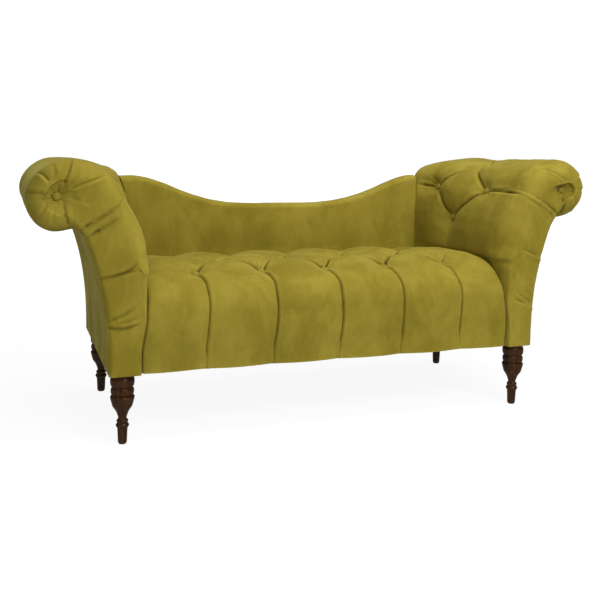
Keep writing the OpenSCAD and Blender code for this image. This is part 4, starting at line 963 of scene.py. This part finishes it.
    def hollow(self, low):
        """Sections of the hollow for the foam, boards and rails."""
        t = self.t[::6]
        outer = outer_half(np.linspace(0, TOP, len(t)), HOLLOW_ROLL, HOLLOW_SIDE)[::-1]
        sections = []
        front, rear = ARM_MIDDLE - ARM_PITCH / 2, ARM_MIDDLE + ARM_PITCH / 2
        for y in (BOARD_Y + 0.0005, front, ARM_MIDDLE, rear, BACK_FACE, BACK - 0.0038):
            line = spline(inner_line(y), t)
            ring = np.vstack([line + inward(line, t) * HOLLOW_IN, outer])
            ring[:, 1] = np.maximum(ring[:, 1], low)
            sections.append(self.place(ring, y))
        return np.stack(sections)


# Tucks on the arms' fronts, in millimetres: points in x and z, then depth, lip, width and step, then the
# side that they stand on and the shares that fade out at each end
FRONT_FOLDS = {
    -1: [
        ([(712, 570), (690, 584), (660, 603), (630, 624), (600, 648), (576, 670), (560, 688)],
         5.6, 2.0, 3.0, 1.4, 1, 0.03, 0.12),
        ([(704, 546), (680, 560), (650, 578), (620, 600), (592, 622)], 4.6, 1.4, 3.0, 0.9, 1, 0.06, 0.3),
        ([(676, 441), (650, 450), (620, 455), (585, 466), (566, 486), (556, 508)],
         5.2, 2.0, 3.4, 1.5, 1, 0.03, 0.4),
        ([(640, 452), (600, 460), (560, 466), (540, 470)], 3.2, 1.2, 3.6, 0.5, -1, 0.2, 0.4),
        ([(655, 318), (630, 316), (601, 317), (570, 322), (545, 333)], 5.4, 2.2, 3.4, 1.5, 1, 0.03, 0.3),
        ([(650, 332), (625, 342), (593, 355), (566, 374), (548, 392)], 3.4, 1.4, 4.2, 0.8, 1, 0.08, 0.5),
        ([(640, 324), (601, 330), (570, 342), (545, 358)], 3.0, 1.2, 3.6, 0.6, 1, 0.1, 0.4),
        ([(829, 722), (812, 722), (793, 712), (778, 690)], 5.4, 2.4, 3.8, 1.6, -1, 0.06, 0.25),
        ([(722, 752), (732, 730), (738, 708), (748, 684)], 5.6, 2.6, 3.6, 1.8, 1, 0.05, 0.2),
        ([(636, 712), (664, 704), (699, 690), (735, 674)], 5.6, 2.2, 3.6, 1.6, 1, 0.12, 0.15),
        ([(846, 668), (820, 668), (800, 667), (780, 666)], 3.4, 1.2, 4.0, 0.6, 1, 0.1, 0.2),
        ([(812, 600), (796, 622), (782, 646)], 3.6, 1.4, 4.0, 0.8, 1, 0.15, 0.2),
        ([(736, 586), (741, 612), (750, 645)], 4.8, 2.0, 4.0, 1.2, -1, 0.05, 0.2),
        ([(668, 640), (700, 646), (740, 660)], 2.4, 0.8, 4.6, 0.6, 1, 0.4, 0.25),
        ([(775, 583), (771, 612), (765, 640)], 3.4, 1.4, 4.0, 0.6, 1, 0.15, 0.2),
        ([(772, 752), (768, 724), (764, 692)], 2.8, 1.0, 4.4, 0.8, 1, 0.2, 0.2),
    ],
    1: [
        ([(548, 676), (590, 662), (640, 640), (690, 610), (716, 586), (724, 566)],
         5.0, 2.2, 3.8, 1.2, 1, 0.25, 0.03),
        ([(600, 640), (645, 618), (690, 588), (706, 570)], 3.4, 1.4, 4.0, 0.8, 1, 0.3, 0.05),
        ([(575, 496), (600, 484), (628, 472), (664, 452)], 5.2, 2.2, 3.4, 1.5, 1, 0.35, 0.03),
        ([(556, 340), (590, 328), (620, 318), (650, 308)], 5.2, 2.2, 3.4, 1.5, 1, 0.35, 0.03),
        ([(566, 366), (592, 346), (620, 330), (648, 318)], 4.0, 1.6, 3.6, 1.0, 1, 0.35, 0.05),
        ([(596, 376), (620, 350), (646, 328)], 2.6, 1.0, 3.6, 0.6, 1, 0.4, 0.05),
        ([(520, 440), (553, 448), (590, 478)], 2.2, 0.8, 6.0, 0.6, 1, 0.4, 0.4),
        ([(664, 730), (700, 722), (725, 706), (744, 688)], 5.4, 2.4, 3.8, 1.6, 1, 0.1, 0.15),
        ([(744, 586), (738, 612), (746, 646)], 5.0, 2.2, 3.8, 1.5, 1, 0.05, 0.15),
        ([(800, 598), (784, 620), (768, 648)], 4.4, 1.8, 4.0, 1.2, -1, 0.08, 0.15),
        ([(824, 712), (800, 702), (776, 680)], 4.6, 2.0, 4.0, 1.2, 1, 0.08, 0.15),
        ([(752, 750), (756, 722), (758, 692)], 4.6, 1.8, 4.0, 1.2, 1, 0.08, 0.15),
        ([(840, 664), (810, 664), (780, 666)], 3.2, 1.2, 4.2, 0.8, 1, 0.1, 0.15),
        ([(684, 664), (712, 662), (740, 664)], 3.0, 1.0, 4.4, 0.8, 1, 0.25, 0.15),
    ],
}
# Shares of the listed depth, lip, width and step that the cloth takes, in metres
FOLD_DEPTH, FOLD_LIP, FOLD_WIDTH, FOLD_STEP = 0.00062, 0.0008, 0.0009, 0.0008


def arm_height(arm, flat, nrm, spots):
    """Height of the tucks, gathers and unevenness at each point of an arm's skin."""
    hand, right = arm.hand, int(arm.hand > 0)
    points = flat.reshape(-1, 2 * arm.half, 3)
    # One crease runs forward from the front button, and on down the right arm's front
    course = ((11, ARM_MIDDLE - ARM_PITCH / 2), (11.2, -0.16), (11.5, -0.20), (11.6, -0.24))
    forward = [points[arm.spot(t, y)] for t, y in course]
    if right:
        forward += on_skin(flat, [(0.625, -0.270, 0.650), (0.680, -0.29, 0.620), (0.718, -0.29, 0.584)])
    height = fold(flat, nrm, dense(forward), 0.0024, 0.0012, 0.0034, 0.3, 0.25, side=hand, step=0.0010)
    nose = flat[flat[:, 1] < FRONT + NOSE_D + 0.01]
    for line, deep, lip, width, step, turn, start, end in FRONT_FOLDS[hand]:
        marks = on_skin(nose, [(hand * x / 1000, FRONT, z / 1000) for x, z in line], (1, 0.02, 1))
        sizes = (FOLD_DEPTH * deep, FOLD_LIP * lip, FOLD_WIDTH * width)
        height += fold(flat, nrm, dense(marks), *sizes, start, end, 0.0012, 0.016, turn * hand,
                       FOLD_STEP * step)
    for k, spot in enumerate(spots):
        height += gathers(flat, nrm, points[spot], (0, 0, 1), 8, 0.038, 0.0044, 140 + k + right * 20)
    height += gathers(flat, nrm, scroll_place(hand)[0], (0, 0, 1), 8, 0.042, 0.0022, 9 + right * 3)
    return height + 0.0014 * waves(flat, 0.17, 15 + right) + 0.0005 * waves(flat, 0.05, 17 + right)


def scroll_place(hand):
    """Place of a scroll's button, and the way that it looks."""
    x, z = SCROLL[hand]
    return np.array([hand * x, FRONT + SCROLL_DEEP, z]), np.array([0, -1.0, 0])


def build_arm(hand, side):
    """An arm's cover with its front. Gives the places of its buttons and its edge beside the back."""
    arm = Arm(hand)
    rows, spare, marks = (np.array(part) for part in zip(*[arm.ring(y) for y in arm.ys]))
    fronts = arm.front_rings(rows[-1])
    skin = np.concatenate([[arm.place(r, y) for r, y in zip(rows, arm.ys)], fronts])
    normals = grid_normals(skin)
    if normals[len(arm.ys) // 2, arm.spot(12, 0)[1]] @ (-hand, 0, 0.4) < 0:
        normals = -normals
    spots = [arm.spot(t, ARM_MIDDLE + steps * ARM_PITCH) for t, steps in ARM_TUFTS]
    flat, nrm = skin.reshape(-1, 3), normals.reshape(-1, 3)
    height = arm_height(arm, flat, nrm, spots).reshape(skin.shape[:2])
    # The skin is held flat where it meets the seat, the back, the base and the outer panel
    y, z = skin[:, :, 1], skin[:, :, 2]
    hold = np.concatenate([smooth((arm.t - 1.2) / 1.2), smooth((arm.t_out[::-1] - NECK_AT) / 1.5)])
    hold = np.maximum(hold, smooth((FRONT + 0.012 - y) / 0.004))
    height = height * (hold * smooth((z - LEG_H - 0.001) / 0.03) * smooth((BACK - 0.004 - y) / 0.02))
    extra = np.zeros(fronts.shape[:2])
    # Painted shade in the creases and the deeper folds, none on the front's rings
    marks = painted_fold_shade(np.concatenate([marks, extra]), height, 0.0055, 0.62)
    height = np.clip(height, -np.concatenate([spare, extra + 1.0]), 0.003)
    skin = skin + normals * height[:, :, None]
    skin[:, :, 1] = np.minimum(skin[:, :, 1], BACK)
    skin[:, :, 2] = np.maximum(skin[:, :, 2], LEG_H)
    board_row = int(np.argmax(arm.ys <= BOARD_Y))
    skin[board_row:, :, 1] = np.minimum(skin[board_row:, :, 1], BOARD_Y)
    places = [(skin[s] - normals[s] * 0.001, normals[s]) for s in spots]
    # Behind the front border the base frame holds the arm up
    low = RAIL_TOP + 0.0001
    step_row = arm.spot(0, FRAME_FRONT)[0]
    skin[step_row, :, 1] = np.where(skin[step_row, :, 2] < low + 0.01, FRAME_FRONT, skin[step_row, :, 1])
    lifted = skin[:step_row + 1].copy()
    lifted[:, :, 2] = np.maximum(lifted[:, :, 2], low)
    shell = Shell()
    grid = shell.grid(np.concatenate([lifted, skin[step_row:]]), around=True,
                      marks=np.concatenate([marks[:step_row + 1], marks[step_row:]]))
    # The back edge turns in round the rear panel
    rim = arm.ring(BACK, 0.002)[0]
    rim[:, 1] = np.maximum(rim[:, 1], low)
    rim_grid = shell.grid(np.stack([arm.place(rim, y) for y in (BACK - 0.0035, BACK)]), around=True)
    shell.strip(rim_grid[1], grid[0], around=True)
    shell.zip_cap(rim_grid[0])
    shell.zip_cap(grid[-1])
    shell.close()
    void = shell.grid(arm.hollow(low + 0.0002), around=True)
    shell.zip_cap(void[0])
    shell.zip_cap(void[-1])
    shell.close(outward=False)
    fasten(shell.piece(side + "_arm_upholstery", VELVET, 70), "velvet", side + "_arm_cover",
           side + "_arm_front_panel", fill=0.8)
    return places, lifted[:step_row][arm.ys[:step_row] > BACK_FACE - 0.004][:, :arm.half].reshape(-1, 3)


# Flat upholstered panels


def panel(name, node, outline, place, thick, swell, soft, count, seed, fill=1.0):
    """A thin panel over an outline of shape (n, 2), rounded at its edge and a little full in the middle."""
    half = len(outline) // 2
    low, high = outline[:half], outline[half:][::-1]
    s = np.linspace(0, 1, count)[:, None]
    base = mix(low, high, s[:, :, None])
    run = run_of(steps_of((low + high) / 2))
    across = np.minimum(s, 1 - s) * np.linalg.norm(high - low, axis=1)
    edge = np.minimum(across, np.minimum(run, run[-1] - run))
    uneven = waves(xyz(base[..., 0], base[..., 1], 0.0).reshape(-1, 3), 0.12, seed).reshape(edge.shape)
    top = thick * (1 - 0.75 * rounding(edge, 1.0, soft)) + (swell * uneven - swell) * smooth(edge / 0.03)
    shell = Shell()
    front, rear = shell.grid(place(base, top)), shell.grid(place(base, 0.0 * top))
    for one, two in ((front, rear), (front.T, rear.T)):
        shell.strip(one[0], two[0])
        shell.strip(one[-1], two[-1])
    shell.close()
    fasten(shell.piece(name, VELVET, 60), "velvet", node, fill=fill)


def between(x, low, high):
    """Outline of a panel that runs along x or z between two edges."""
    return np.concatenate([np.column_stack([x, low]), np.column_stack([x, high])[::-1]])


def arm_panels(hand, side):
    """An arm's outer panel and its rear panel."""
    z = np.linspace(LEG_H, NECK_H, 110)
    outline = between(z, np.full(110, FRONT + 0.0123), np.full(110, BACK - 0.0034))[:, ::-1]

    def outer(base, top):
        return xyz(hand * (outer_x(base[..., 1]) - 0.008 + top), base[..., 0], base[..., 1])

    def rear(base, top):
        return xyz(hand * base[..., 0], BACK - 0.003 + top, base[..., 1])

    panel(side + "_outer_panel", side + "_outer_arm_panel", outline, outer,
          thick=0.008, swell=0.0012, soft=0.005, count=130, seed=31 + hand, fill=0.9)
    arm = Arm(hand)
    ring = arm.ring(BACK, 0.0035)[0]
    # The panel is full width over the base frame, and meets the outer panel up to the neck
    full = smooth((RAIL_TOP - ring[:, 1]) / 0.008)
    full[arm.half:] = np.maximum(full[arm.half:], smooth((NECK_H - 0.003 - ring[arm.half:, 1]) / 0.006))
    ring = mix(ring, arm.ring(BACK, -0.0012)[0], full[:, None])
    ring[:, 1] = np.maximum(ring[:, 1], LEG_H)
    panel(side + "_rear_panel", side + "_arm_rear_panel", ring, rear,
          thick=0.003, swell=0.0004, soft=0.003, count=40, seed=41 + hand)


# Back


def scoop(x):
    """Height of the back's top edge."""
    return BACK_LOW + BACK_RISE * np.sin(math.pi / 2 * np.clip(np.abs(x) / SEAT_BACK_X, 0, 1) ** 1.8) ** 2


def over_top(x, y, z, pad, r, turn):
    """Sections of the back at each x: up its face along y and z, over the rounded edge and down behind."""
    low = scoop(x) - pad - r
    over = [BACK_FACE + pad + r - r * np.cos(turn), BACK - pad - r + r * np.sin(turn), [BACK - pad]]
    return xyz(x, np.hstack([y, np.tile(np.concatenate(over), (len(x), 1))]),
               np.hstack([z, low + r * np.sin(turn), low + r * np.cos(turn), scoop(x) - BACK_LIP]))


def back_pieces(edge):
    """The inner and the outer back, whose left end follows the left arm's edge."""
    levels = np.arange(0.44, 0.74, 0.006)
    near = [np.abs(edge[np.abs(edge[:, 2] - z) < 0.006, 0]) for z in levels]
    reach = np.maximum.accumulate([n.min() if len(n) else BACK_END for n in near]) - 0.0012

    def lean_left(grid):
        """Draws the left end out to the arm, which leans away from it higher up."""
        points = grid.reshape(-1, 3).copy()
        out = np.maximum(0.0, np.interp(points[:, 2], levels, reach) - BACK_END)
        before = scoop(points[:, 0])
        points[:, 0] -= out * smooth((-points[:, 0] - 0.10) / (BACK_END - 0.10))
        # The scooped edge keeps its height over the foam as the end draws out
        lift = np.clip((points[:, 2] - 0.45) / (before - 0.45), 0, 1)
        points[:, 2] += (scoop(points[:, 0]) - before) * lift
        return points.reshape(grid.shape)

    x = np.linspace(-BACK_END, BACK_END, 260)[:, None]
    low = scoop(x) - BACK_ROUND
    z = mix(BACK_FOOT, low, np.linspace(0, 1, 70))
    crown = 0.005 * (1 - (x / BACK_END) ** 2)
    y = BACK_FACE - crown * np.sin(math.pi * np.clip((z - SEAT_H + 0.02) / (low - SEAT_H + 0.02), 0, 1))
    turn = np.linspace(0, math.pi / 2, 16)
    skin = over_top(x, y, z, 0.0, BACK_ROUND, turn[1:])
    normals = grid_normals(skin)
    if normals[len(x) // 2, 10, 1] > 0:
        normals = -normals
    flat = skin.reshape(-1, 3)
    height = 0.0011 * waves(flat, 0.22, 51) + 0.0005 * waves(flat, 0.06, 52)
    lip = smooth((skin[:, :, 2] - scoop(x) + BACK_LIP) / 0.002).reshape(-1)
    hold = smooth((BACK_END - np.abs(flat[:, 0])) / 0.02) * smooth((flat[:, 2] - SEAT_H + 0.05) / 0.06) \
        * np.where(flat[:, 1] > BACK - 0.002, lip, 1.0)
    moved = flat + normals.reshape(-1, 3) * (height * hold)[:, None]
    moved[:, 1] = np.clip(moved[:, 1], BACK_FACE - 0.0075, BACK)
    pad = 0.0068
    r = BACK_ROUND - pad / 2
    rise = np.hstack([np.full_like(x, BACK_FOOT), scoop(x) - pad - r])
    hollow = over_top(x, np.full(rise.shape, BACK_FACE + pad), rise, pad, r, turn[2::3])
    shell = Shell()
    shell.wall(shell.grid(lean_left(moved.reshape(skin.shape))), shell.grid(lean_left(hollow)))
    shell.close()
    fasten(shell.piece("inner_back", VELVET, 60), "velvet", "inner_back_cover", fill=0.9)

    def rear(base, top):
        return lean_left(xyz(base[..., 0], BACK - 0.003 + top, base[..., 1]))

    x = np.linspace(-BACK_END, BACK_END, 200)
    panel("outer_back", "outer_back_cover", between(x, np.full(200, LEG_H), scoop(x) - 0.024), rear,
          thick=0.003, swell=0.0005, soft=0.003, count=90, seed=61)


# Buttons and small repeated pieces


def aligned(tree, attribute, axes, rotation=None):
    """A rotation that turns an axis along the named attribute."""
    way = add_node(tree, "GeometryNodeInputNamedAttribute", {"data_type": "FLOAT_VECTOR"},
                   {"Name": attribute})
    inputs = {"Vector": way.outputs["Attribute"]}
    if rotation:
        inputs["Rotation"] = rotation
    return add_node(tree, "FunctionNodeAlignRotationToVector", axes, inputs).outputs["Rotation"]


def scatter(name, places, build, sizes, finish, **ways):
    """Copies of one small shape at places, its Z along way and, if given, its X along the second way."""
    tree = bpy.data.node_groups.new(name + "_tree", "GeometryNodeTree")
    tree.interface.new_socket("Geometry", in_out="INPUT", socket_type="NodeSocketGeometry")
    keys = {label: tree.interface.new_socket(label, in_out="INPUT", socket_type="NodeSocketFloat").identifier
            for label in sizes}
    tree.interface.new_socket("Geometry", in_out="OUTPUT", socket_type="NodeSocketGeometry")
    given = add_node(tree, "NodeGroupInput").outputs
    rotation = aligned(tree, "way", {"axis": "Z"})
    if "along" in ways:
        rotation = aligned(tree, "along", {"axis": "X", "pivot_axis": "Z"}, rotation)
    copies = add_node(tree, "GeometryNodeInstanceOnPoints", {}, {
        "Points": given["Geometry"], "Instance": build(tree, given), "Rotation": rotation})
    real = add_node(tree, "GeometryNodeRealizeInstances", {}, {"Geometry": copies.outputs["Instances"]})
    add_node(tree, "NodeGroupOutput", {}, {"Geometry": real.outputs["Geometry"]})

    mesh = bpy.data.meshes.new(name + "_points")
    mesh.from_pydata([tuple(p) for p in places], [], [])
    for label, vectors in ways.items():
        layer = mesh.attributes.new(label, "FLOAT_VECTOR", "POINT")
        layer.data.foreach_set("vector", np.asarray(vectors, float).ravel())
    carrier = link(bpy.data.objects.new(name + "_points", mesh))
    modifier = carrier.modifiers.new("copies", "NODES")
    modifier.node_group = tree
    for label, value in sizes.items():
        modifier[keys[label]] = value
    plain = bpy.data.meshes.new_from_object(carrier.evaluated_get(bpy.context.evaluated_depsgraph_get()))
    bpy.data.objects.remove(carrier)
    plain.name = name
    for label in ways:
        if label in plain.attributes:
            plain.attributes.remove(plain.attributes[label])
    plain.materials.clear()
    plain.materials.append(FINISHES[finish])
    plain.shade_smooth()
    return link(bpy.data.objects.new(name, plain))


def covered_button(tree, sizes):
    """A domed button: a ball pressed flat."""
    ball = add_node(tree, "GeometryNodeMeshUVSphere", {}, {"Segments": 28, "Rings": 18, "Radius": 1.0})
    size = add_node(tree, "ShaderNodeCombineXYZ", {}, {0: sizes["Radius"], 1: sizes["Radius"],
                                                       2: sizes["Height"]})
    form = add_node(tree, "GeometryNodeTransform", {}, {"Geometry": ball.outputs["Mesh"],
                                                        "Scale": size.outputs[0]})
    return form.outputs["Geometry"]


def staple(tree, sizes):
    """A staple's crown: a thin bar lying on the cloth."""
    bar = add_node(tree, "GeometryNodeMeshCylinder", {}, {"Vertices": 8, "Radius": sizes["Thickness"],
                                                          "Depth": sizes["Length"]})
    turn = add_node(tree, "GeometryNodeTransform", {}, {"Geometry": bar.outputs["Mesh"],
                                                        "Rotation": (0, math.pi / 2, 0)})
    return turn.outputs["Geometry"]


def buttons(name, places, node):
    """Covered buttons at pairs of a place and the way that each looks."""
    points, ways = zip(*places)
    sizes = {"Radius": BUTTON_R, "Height": BUTTON_H}
    covered = scatter(name, points, covered_button, sizes, "button_velvet", way=ways)
    fasten(covered, "button_velvet", node, fill=1.0)


# Legs


# Shares of a leg's radius and height, up its turned profile
LEG_SHARES = [(0.37, 0), (0.39, 0.09), (0.42, 0.2), (0.44, 0.215), (0.55, 0.252), (0.44, 0.288),
              (0.48, 0.318), (0.36, 0.35), (0.36, 0.372), (0.43, 0.41), (0.52, 0.45), (0.66, 0.49),
              (0.8, 0.525), (0.84, 0.545), (0.89, 0.575), (0.98, 0.635), (1, 0.66), (0.94, 0.678),
              (0.85, 0.69), (0.93, 0.712), (0.96, 0.745), (0.94, 0.778), (0.85, 0.803), (0.95, 0.83),
              (1, 0.878), (0.99, 0.92), (0.92, 0.95), (0.91, 1)]
# Radius and depth of the glide's hole in the foot and of the bolt's hole in the head
PIN_R, PIN_D, BOLT_R, BOLT_D = 0.0018 + GAP, 0.0125, 0.0043, 0.033


def leg(name, node):
    """A turned leg in its solid's box."""
    lo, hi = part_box(node)
    cx, cy = (lo[0] + hi[0]) / 2, (lo[1] + hi[1]) / 2
    h, r = hi[2] - lo[2], (hi[0] - lo[0]) / 2
    outline = spline(LEG_SHARES, np.linspace(0, len(LEG_SHARES) - 1, 150)) * [r, h]
    outline = np.clip(outline, 0, [r, h])
    sole = outline[0, 0]
    profile = np.vstack([[(PIN_R, PIN_D), (PIN_R, 0.0), (sole - 0.0012, 0.0), (sole, 0.0012)], outline[2:-1],
                         [(outline[-1, 0] - 0.0008, h), (BOLT_R, h), (BOLT_R, h - BOLT_D)]])
    turns = 72
    a = np.linspace(0, 2 * math.pi, turns, endpoint=False)
    shell = Shell()
    r, z = profile[:, :1], profile[:, 1:]
    grid = shell.grid(xyz(cx + r * np.cos(a), cy + r * np.sin(a), lo[2] + z), around=True)
    for end in (0, -1):
        centre = shell.add([(cx, cy, lo[2] + profile[end, 1])])
        ring = grid[end].tolist()
        shell.faces += [[ring[k], ring[(k + 1) % turns], centre] for k in range(turns)]
    shell.close()
    fasten(shell.piece(name, FINISHES["walnut"], 40), "walnut", node)


# Dust cloth under the seat


# Places of the legs and the holes round them, thickness of the cloth, and the staples' step, inset and size
LEG_X, LEG_YS, LEG_HOLE, CLOTH_T = 0.597, (-0.2505, 0.2345), 0.0179, 0.0008
STAPLE_STEP, STAPLE_IN, STAPLE_R, STAPLE_L = 0.045, 0.010, 0.0006, 0.010


def dust_cover():
    """The dust cloth, sagging a little between the rails, with a hole round each leg's bolt."""
    lo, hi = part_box("dust_cover")
    gx, gy = np.meshgrid(np.linspace(lo[0], hi[0], 160), np.linspace(lo[1], hi[1], 80), indexing="ij")
    edge = np.minimum(np.minimum(gx - lo[0], hi[0] - gx), np.minimum(gy - lo[1], hi[1] - gy))
    away = np.min([np.hypot(gx - x, gy - y) for x in (-LEG_X, LEG_X) for y in LEG_YS], axis=0)
    pucker = 0.0006 * waves(xyz(gx, gy, 0.0).reshape(-1, 3), 0.06, 71).reshape(gx.shape)
    pucker *= smooth(edge / 0.01) * (1 - smooth((edge - 0.02) / 0.05)) * smooth((away - 0.03) / 0.03)
    sag = 0.005 * smooth((edge - 0.03) / 0.15) * smooth((away - 0.05) / 0.05) + pucker
    shell = Shell()
    low, top = shell.add(xyz(gx, gy, lo[2] - sag)), shell.add(xyz(gx, gy, lo[2] + CLOTH_T - sag))
    nx, ny = gx.shape
    hole = away < LEG_HOLE
    rim = set()
    for i in range(nx - 1):
        for j in range(ny - 1):
            if hole[i:i + 2, j:j + 2].any():
                continue
            q = [i * ny + j, (i + 1) * ny + j, (i + 1) * ny + j + 1, i * ny + j + 1]
            shell.faces += [[low + v for v in q], [top + v for v in q[::-1]]]
            for a, b in zip(q, q[1:] + q[:1]):
                # An edge that two cells share isn't on the rim
                if (b, a) in rim:
                    rim.remove((b, a))
                else:
                    rim.add((a, b))
    shell.faces += [[low + b, low + a, top + a, top + b] for a, b in sorted(rim)]
    shell.close()
    cloth = shell.piece("dust_cloth", FINISHES["dust_cloth"], 40)
    fasten(cloth, "dust_cloth", "dust_cover")


def staples():
    """Staples along the four edges of the dust cloth."""
    lo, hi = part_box("dust_cover")
    x_rows, y_rows = ((lo[k] + STAPLE_IN, hi[k] - STAPLE_IN) for k in (0, 1))
    rows = [(x, y, (1, 0, 0)) for x in np.arange(-0.54, 0.541, STAPLE_STEP) for y in y_rows]
    rows += [(x, y, (0, 1, 0)) for y in np.arange(-0.18, 0.171, STAPLE_STEP) for x in x_rows]
    places = [(x, y, lo[2] - STAPLE_R / 2) for x, y, _ in rows]
    bars = scatter("staples", places, staple, {"Thickness": STAPLE_R, "Length": STAPLE_L}, "zinc_steel",
                   way=[(0, 0, 1)] * len(places), along=[row[2] for row in rows])
    fasten(bars, "zinc_steel")


seat_cover()
# The rear row's buttons stand out further, so that they cover the ends of their twines
buttons("seat_tufting_buttons", [tuft_place(x, y, -0.0055 if y > TUFT_Y + ROW else -0.003) for x, y in TUFTS],
        "seat_buttons")
edges = {}
for hand, side in SIDES.items():
    spots, edges[hand] = build_arm(hand, side)
    buttons(side + "_arm_tufting_buttons", spots, side + "_arm_buttons")
    arm_panels(hand, side)
buttons("scroll_front_buttons", [scroll_place(hand) for hand in SIDES], "scroll_buttons")
back_pieces(edges[-1])
for leg_name in ("front_left_leg", "front_right_leg", "rear_left_leg", "rear_right_leg"):
    leg("turned_" + leg_name, leg_name)
dust_cover()
staples()

# Floor, light and camera


def pale_ground(name, colour, lift):
    """A pale surface that keeps shadows but looks near white to the camera."""
    p = Paint(name, Roughness=0.9, Specular_IOR_Level=0.0, Base_Color=colour)
    path = p.node("ShaderNodeLightPath")
    seen = path["Is Camera Ray"].larger(path["Is Glossy Ray"]).larger(path["Is Transmission Ray"])
    far = p.node("ShaderNodeVectorMath", {"operation": "LENGTH"}, {0: p.place})["Value"]
    glow = p.node("ShaderNodeEmission", {}, {"Color": (1.0, 1.0, 1.0), "Strength": 1.14})["Emission"]
    both = p.node("ShaderNodeMixShader", {}, {0: seen * p.spread(far, 1.2, 4.0, lift, 1.0),
                                              1: p.shader.outputs["BSDF"], 2: glow})["Shader"]
    feed(p.tree, p.out.inputs["Surface"], both)
    return p.material


def stage(size=14.0):
    """A pale floor, and a world that is white to the camera and softer as light."""
    mesh = bpy.data.meshes.new("floor")
    corners = [(-size, -size, 0), (size, -size, 0), (size, size, 0), (-size, size, 0)]
    mesh.from_pydata(corners, [], [[0, 1, 2, 3]])
    mesh.materials.append(pale_ground("pale_floor", (0.62, 0.62, 0.62), 0.80))
    link(bpy.data.objects.new("floor", mesh))
    world = bpy.data.worlds.new("studio")
    bpy.context.scene.world = world
    world.use_nodes = True
    tree = world.node_tree
    tree.nodes.clear()
    path = add_node(tree, "ShaderNodeLightPath").outputs
    seen = add_node(tree, "ShaderNodeMath", {"operation": "MAXIMUM"},
                    {0: path["Is Camera Ray"], 1: path["Is Transmission Ray"]})
    soft, white = (add_node(tree, "ShaderNodeBackground", {}, {"Color": (1, 1, 1), "Strength": strength})
                   for strength in (0.34, 1.0))
    shown = add_node(tree, "ShaderNodeMixShader", {}, {0: seen.outputs[0], 1: soft.outputs[0],
                                                       2: white.outputs[0]})
    add_node(tree, "ShaderNodeOutputWorld", {}, {"Surface": shown.outputs[0]})


def lamp(name, place, target, size, power):
    """An area lamp that faces the target."""
    light = bpy.data.lights.new(name, "AREA")
    light.shape, light.size, light.size_y = "RECTANGLE", size[0], size[1]
    light.energy = power
    obj = link(bpy.data.objects.new(name, light))
    obj.location = place
    obj.rotation_euler = (Vector(target) - Vector(place)).to_track_quat("-Z", "Y").to_euler()


def camera(place, yaw, pitch, roll, lens, shift_y):
    """The photograph's camera, as it was fitted: turned from straight ahead, tipped down and rolled."""
    forward = Vector((-math.sin(yaw) * math.cos(pitch), math.cos(yaw) * math.cos(pitch), -math.sin(pitch)))
    right = Vector((math.cos(yaw), math.sin(yaw), 0))
    up = right.cross(forward)
    right, up = (math.cos(roll) * right + math.sin(roll) * up, -math.sin(roll) * right + math.cos(roll) * up)
    data = bpy.data.cameras.new("camera")
    data.lens, data.sensor_width, data.shift_y = lens, 36.0, shift_y
    obj = link(bpy.data.objects.new("camera", data))
    obj.matrix_world = Matrix.Translation(place) @ Matrix((right, up, -forward)).transposed().to_4x4()
    bpy.context.scene.camera = obj


stage()
lamp("key", (0.6, -2.9, 2.5), (0.0, 0.0, 0.4), (2.2, 1.4), 76)
lamp("top", (0.5, -0.3, 2.9), (0.0, 0.0, 0.3), (2.6, 1.6), 48)
lamp("fill", (-2.8, -1.6, 1.8), (0.0, 0.0, 0.4), (1.4, 1.4), 5)
camera((-0.9069, -2.5053, 0.8314), -0.3400, 0.0796, 0.0165, 51.83, -0.1667)
bpy.context.scene.view_settings.view_transform = "Standard"
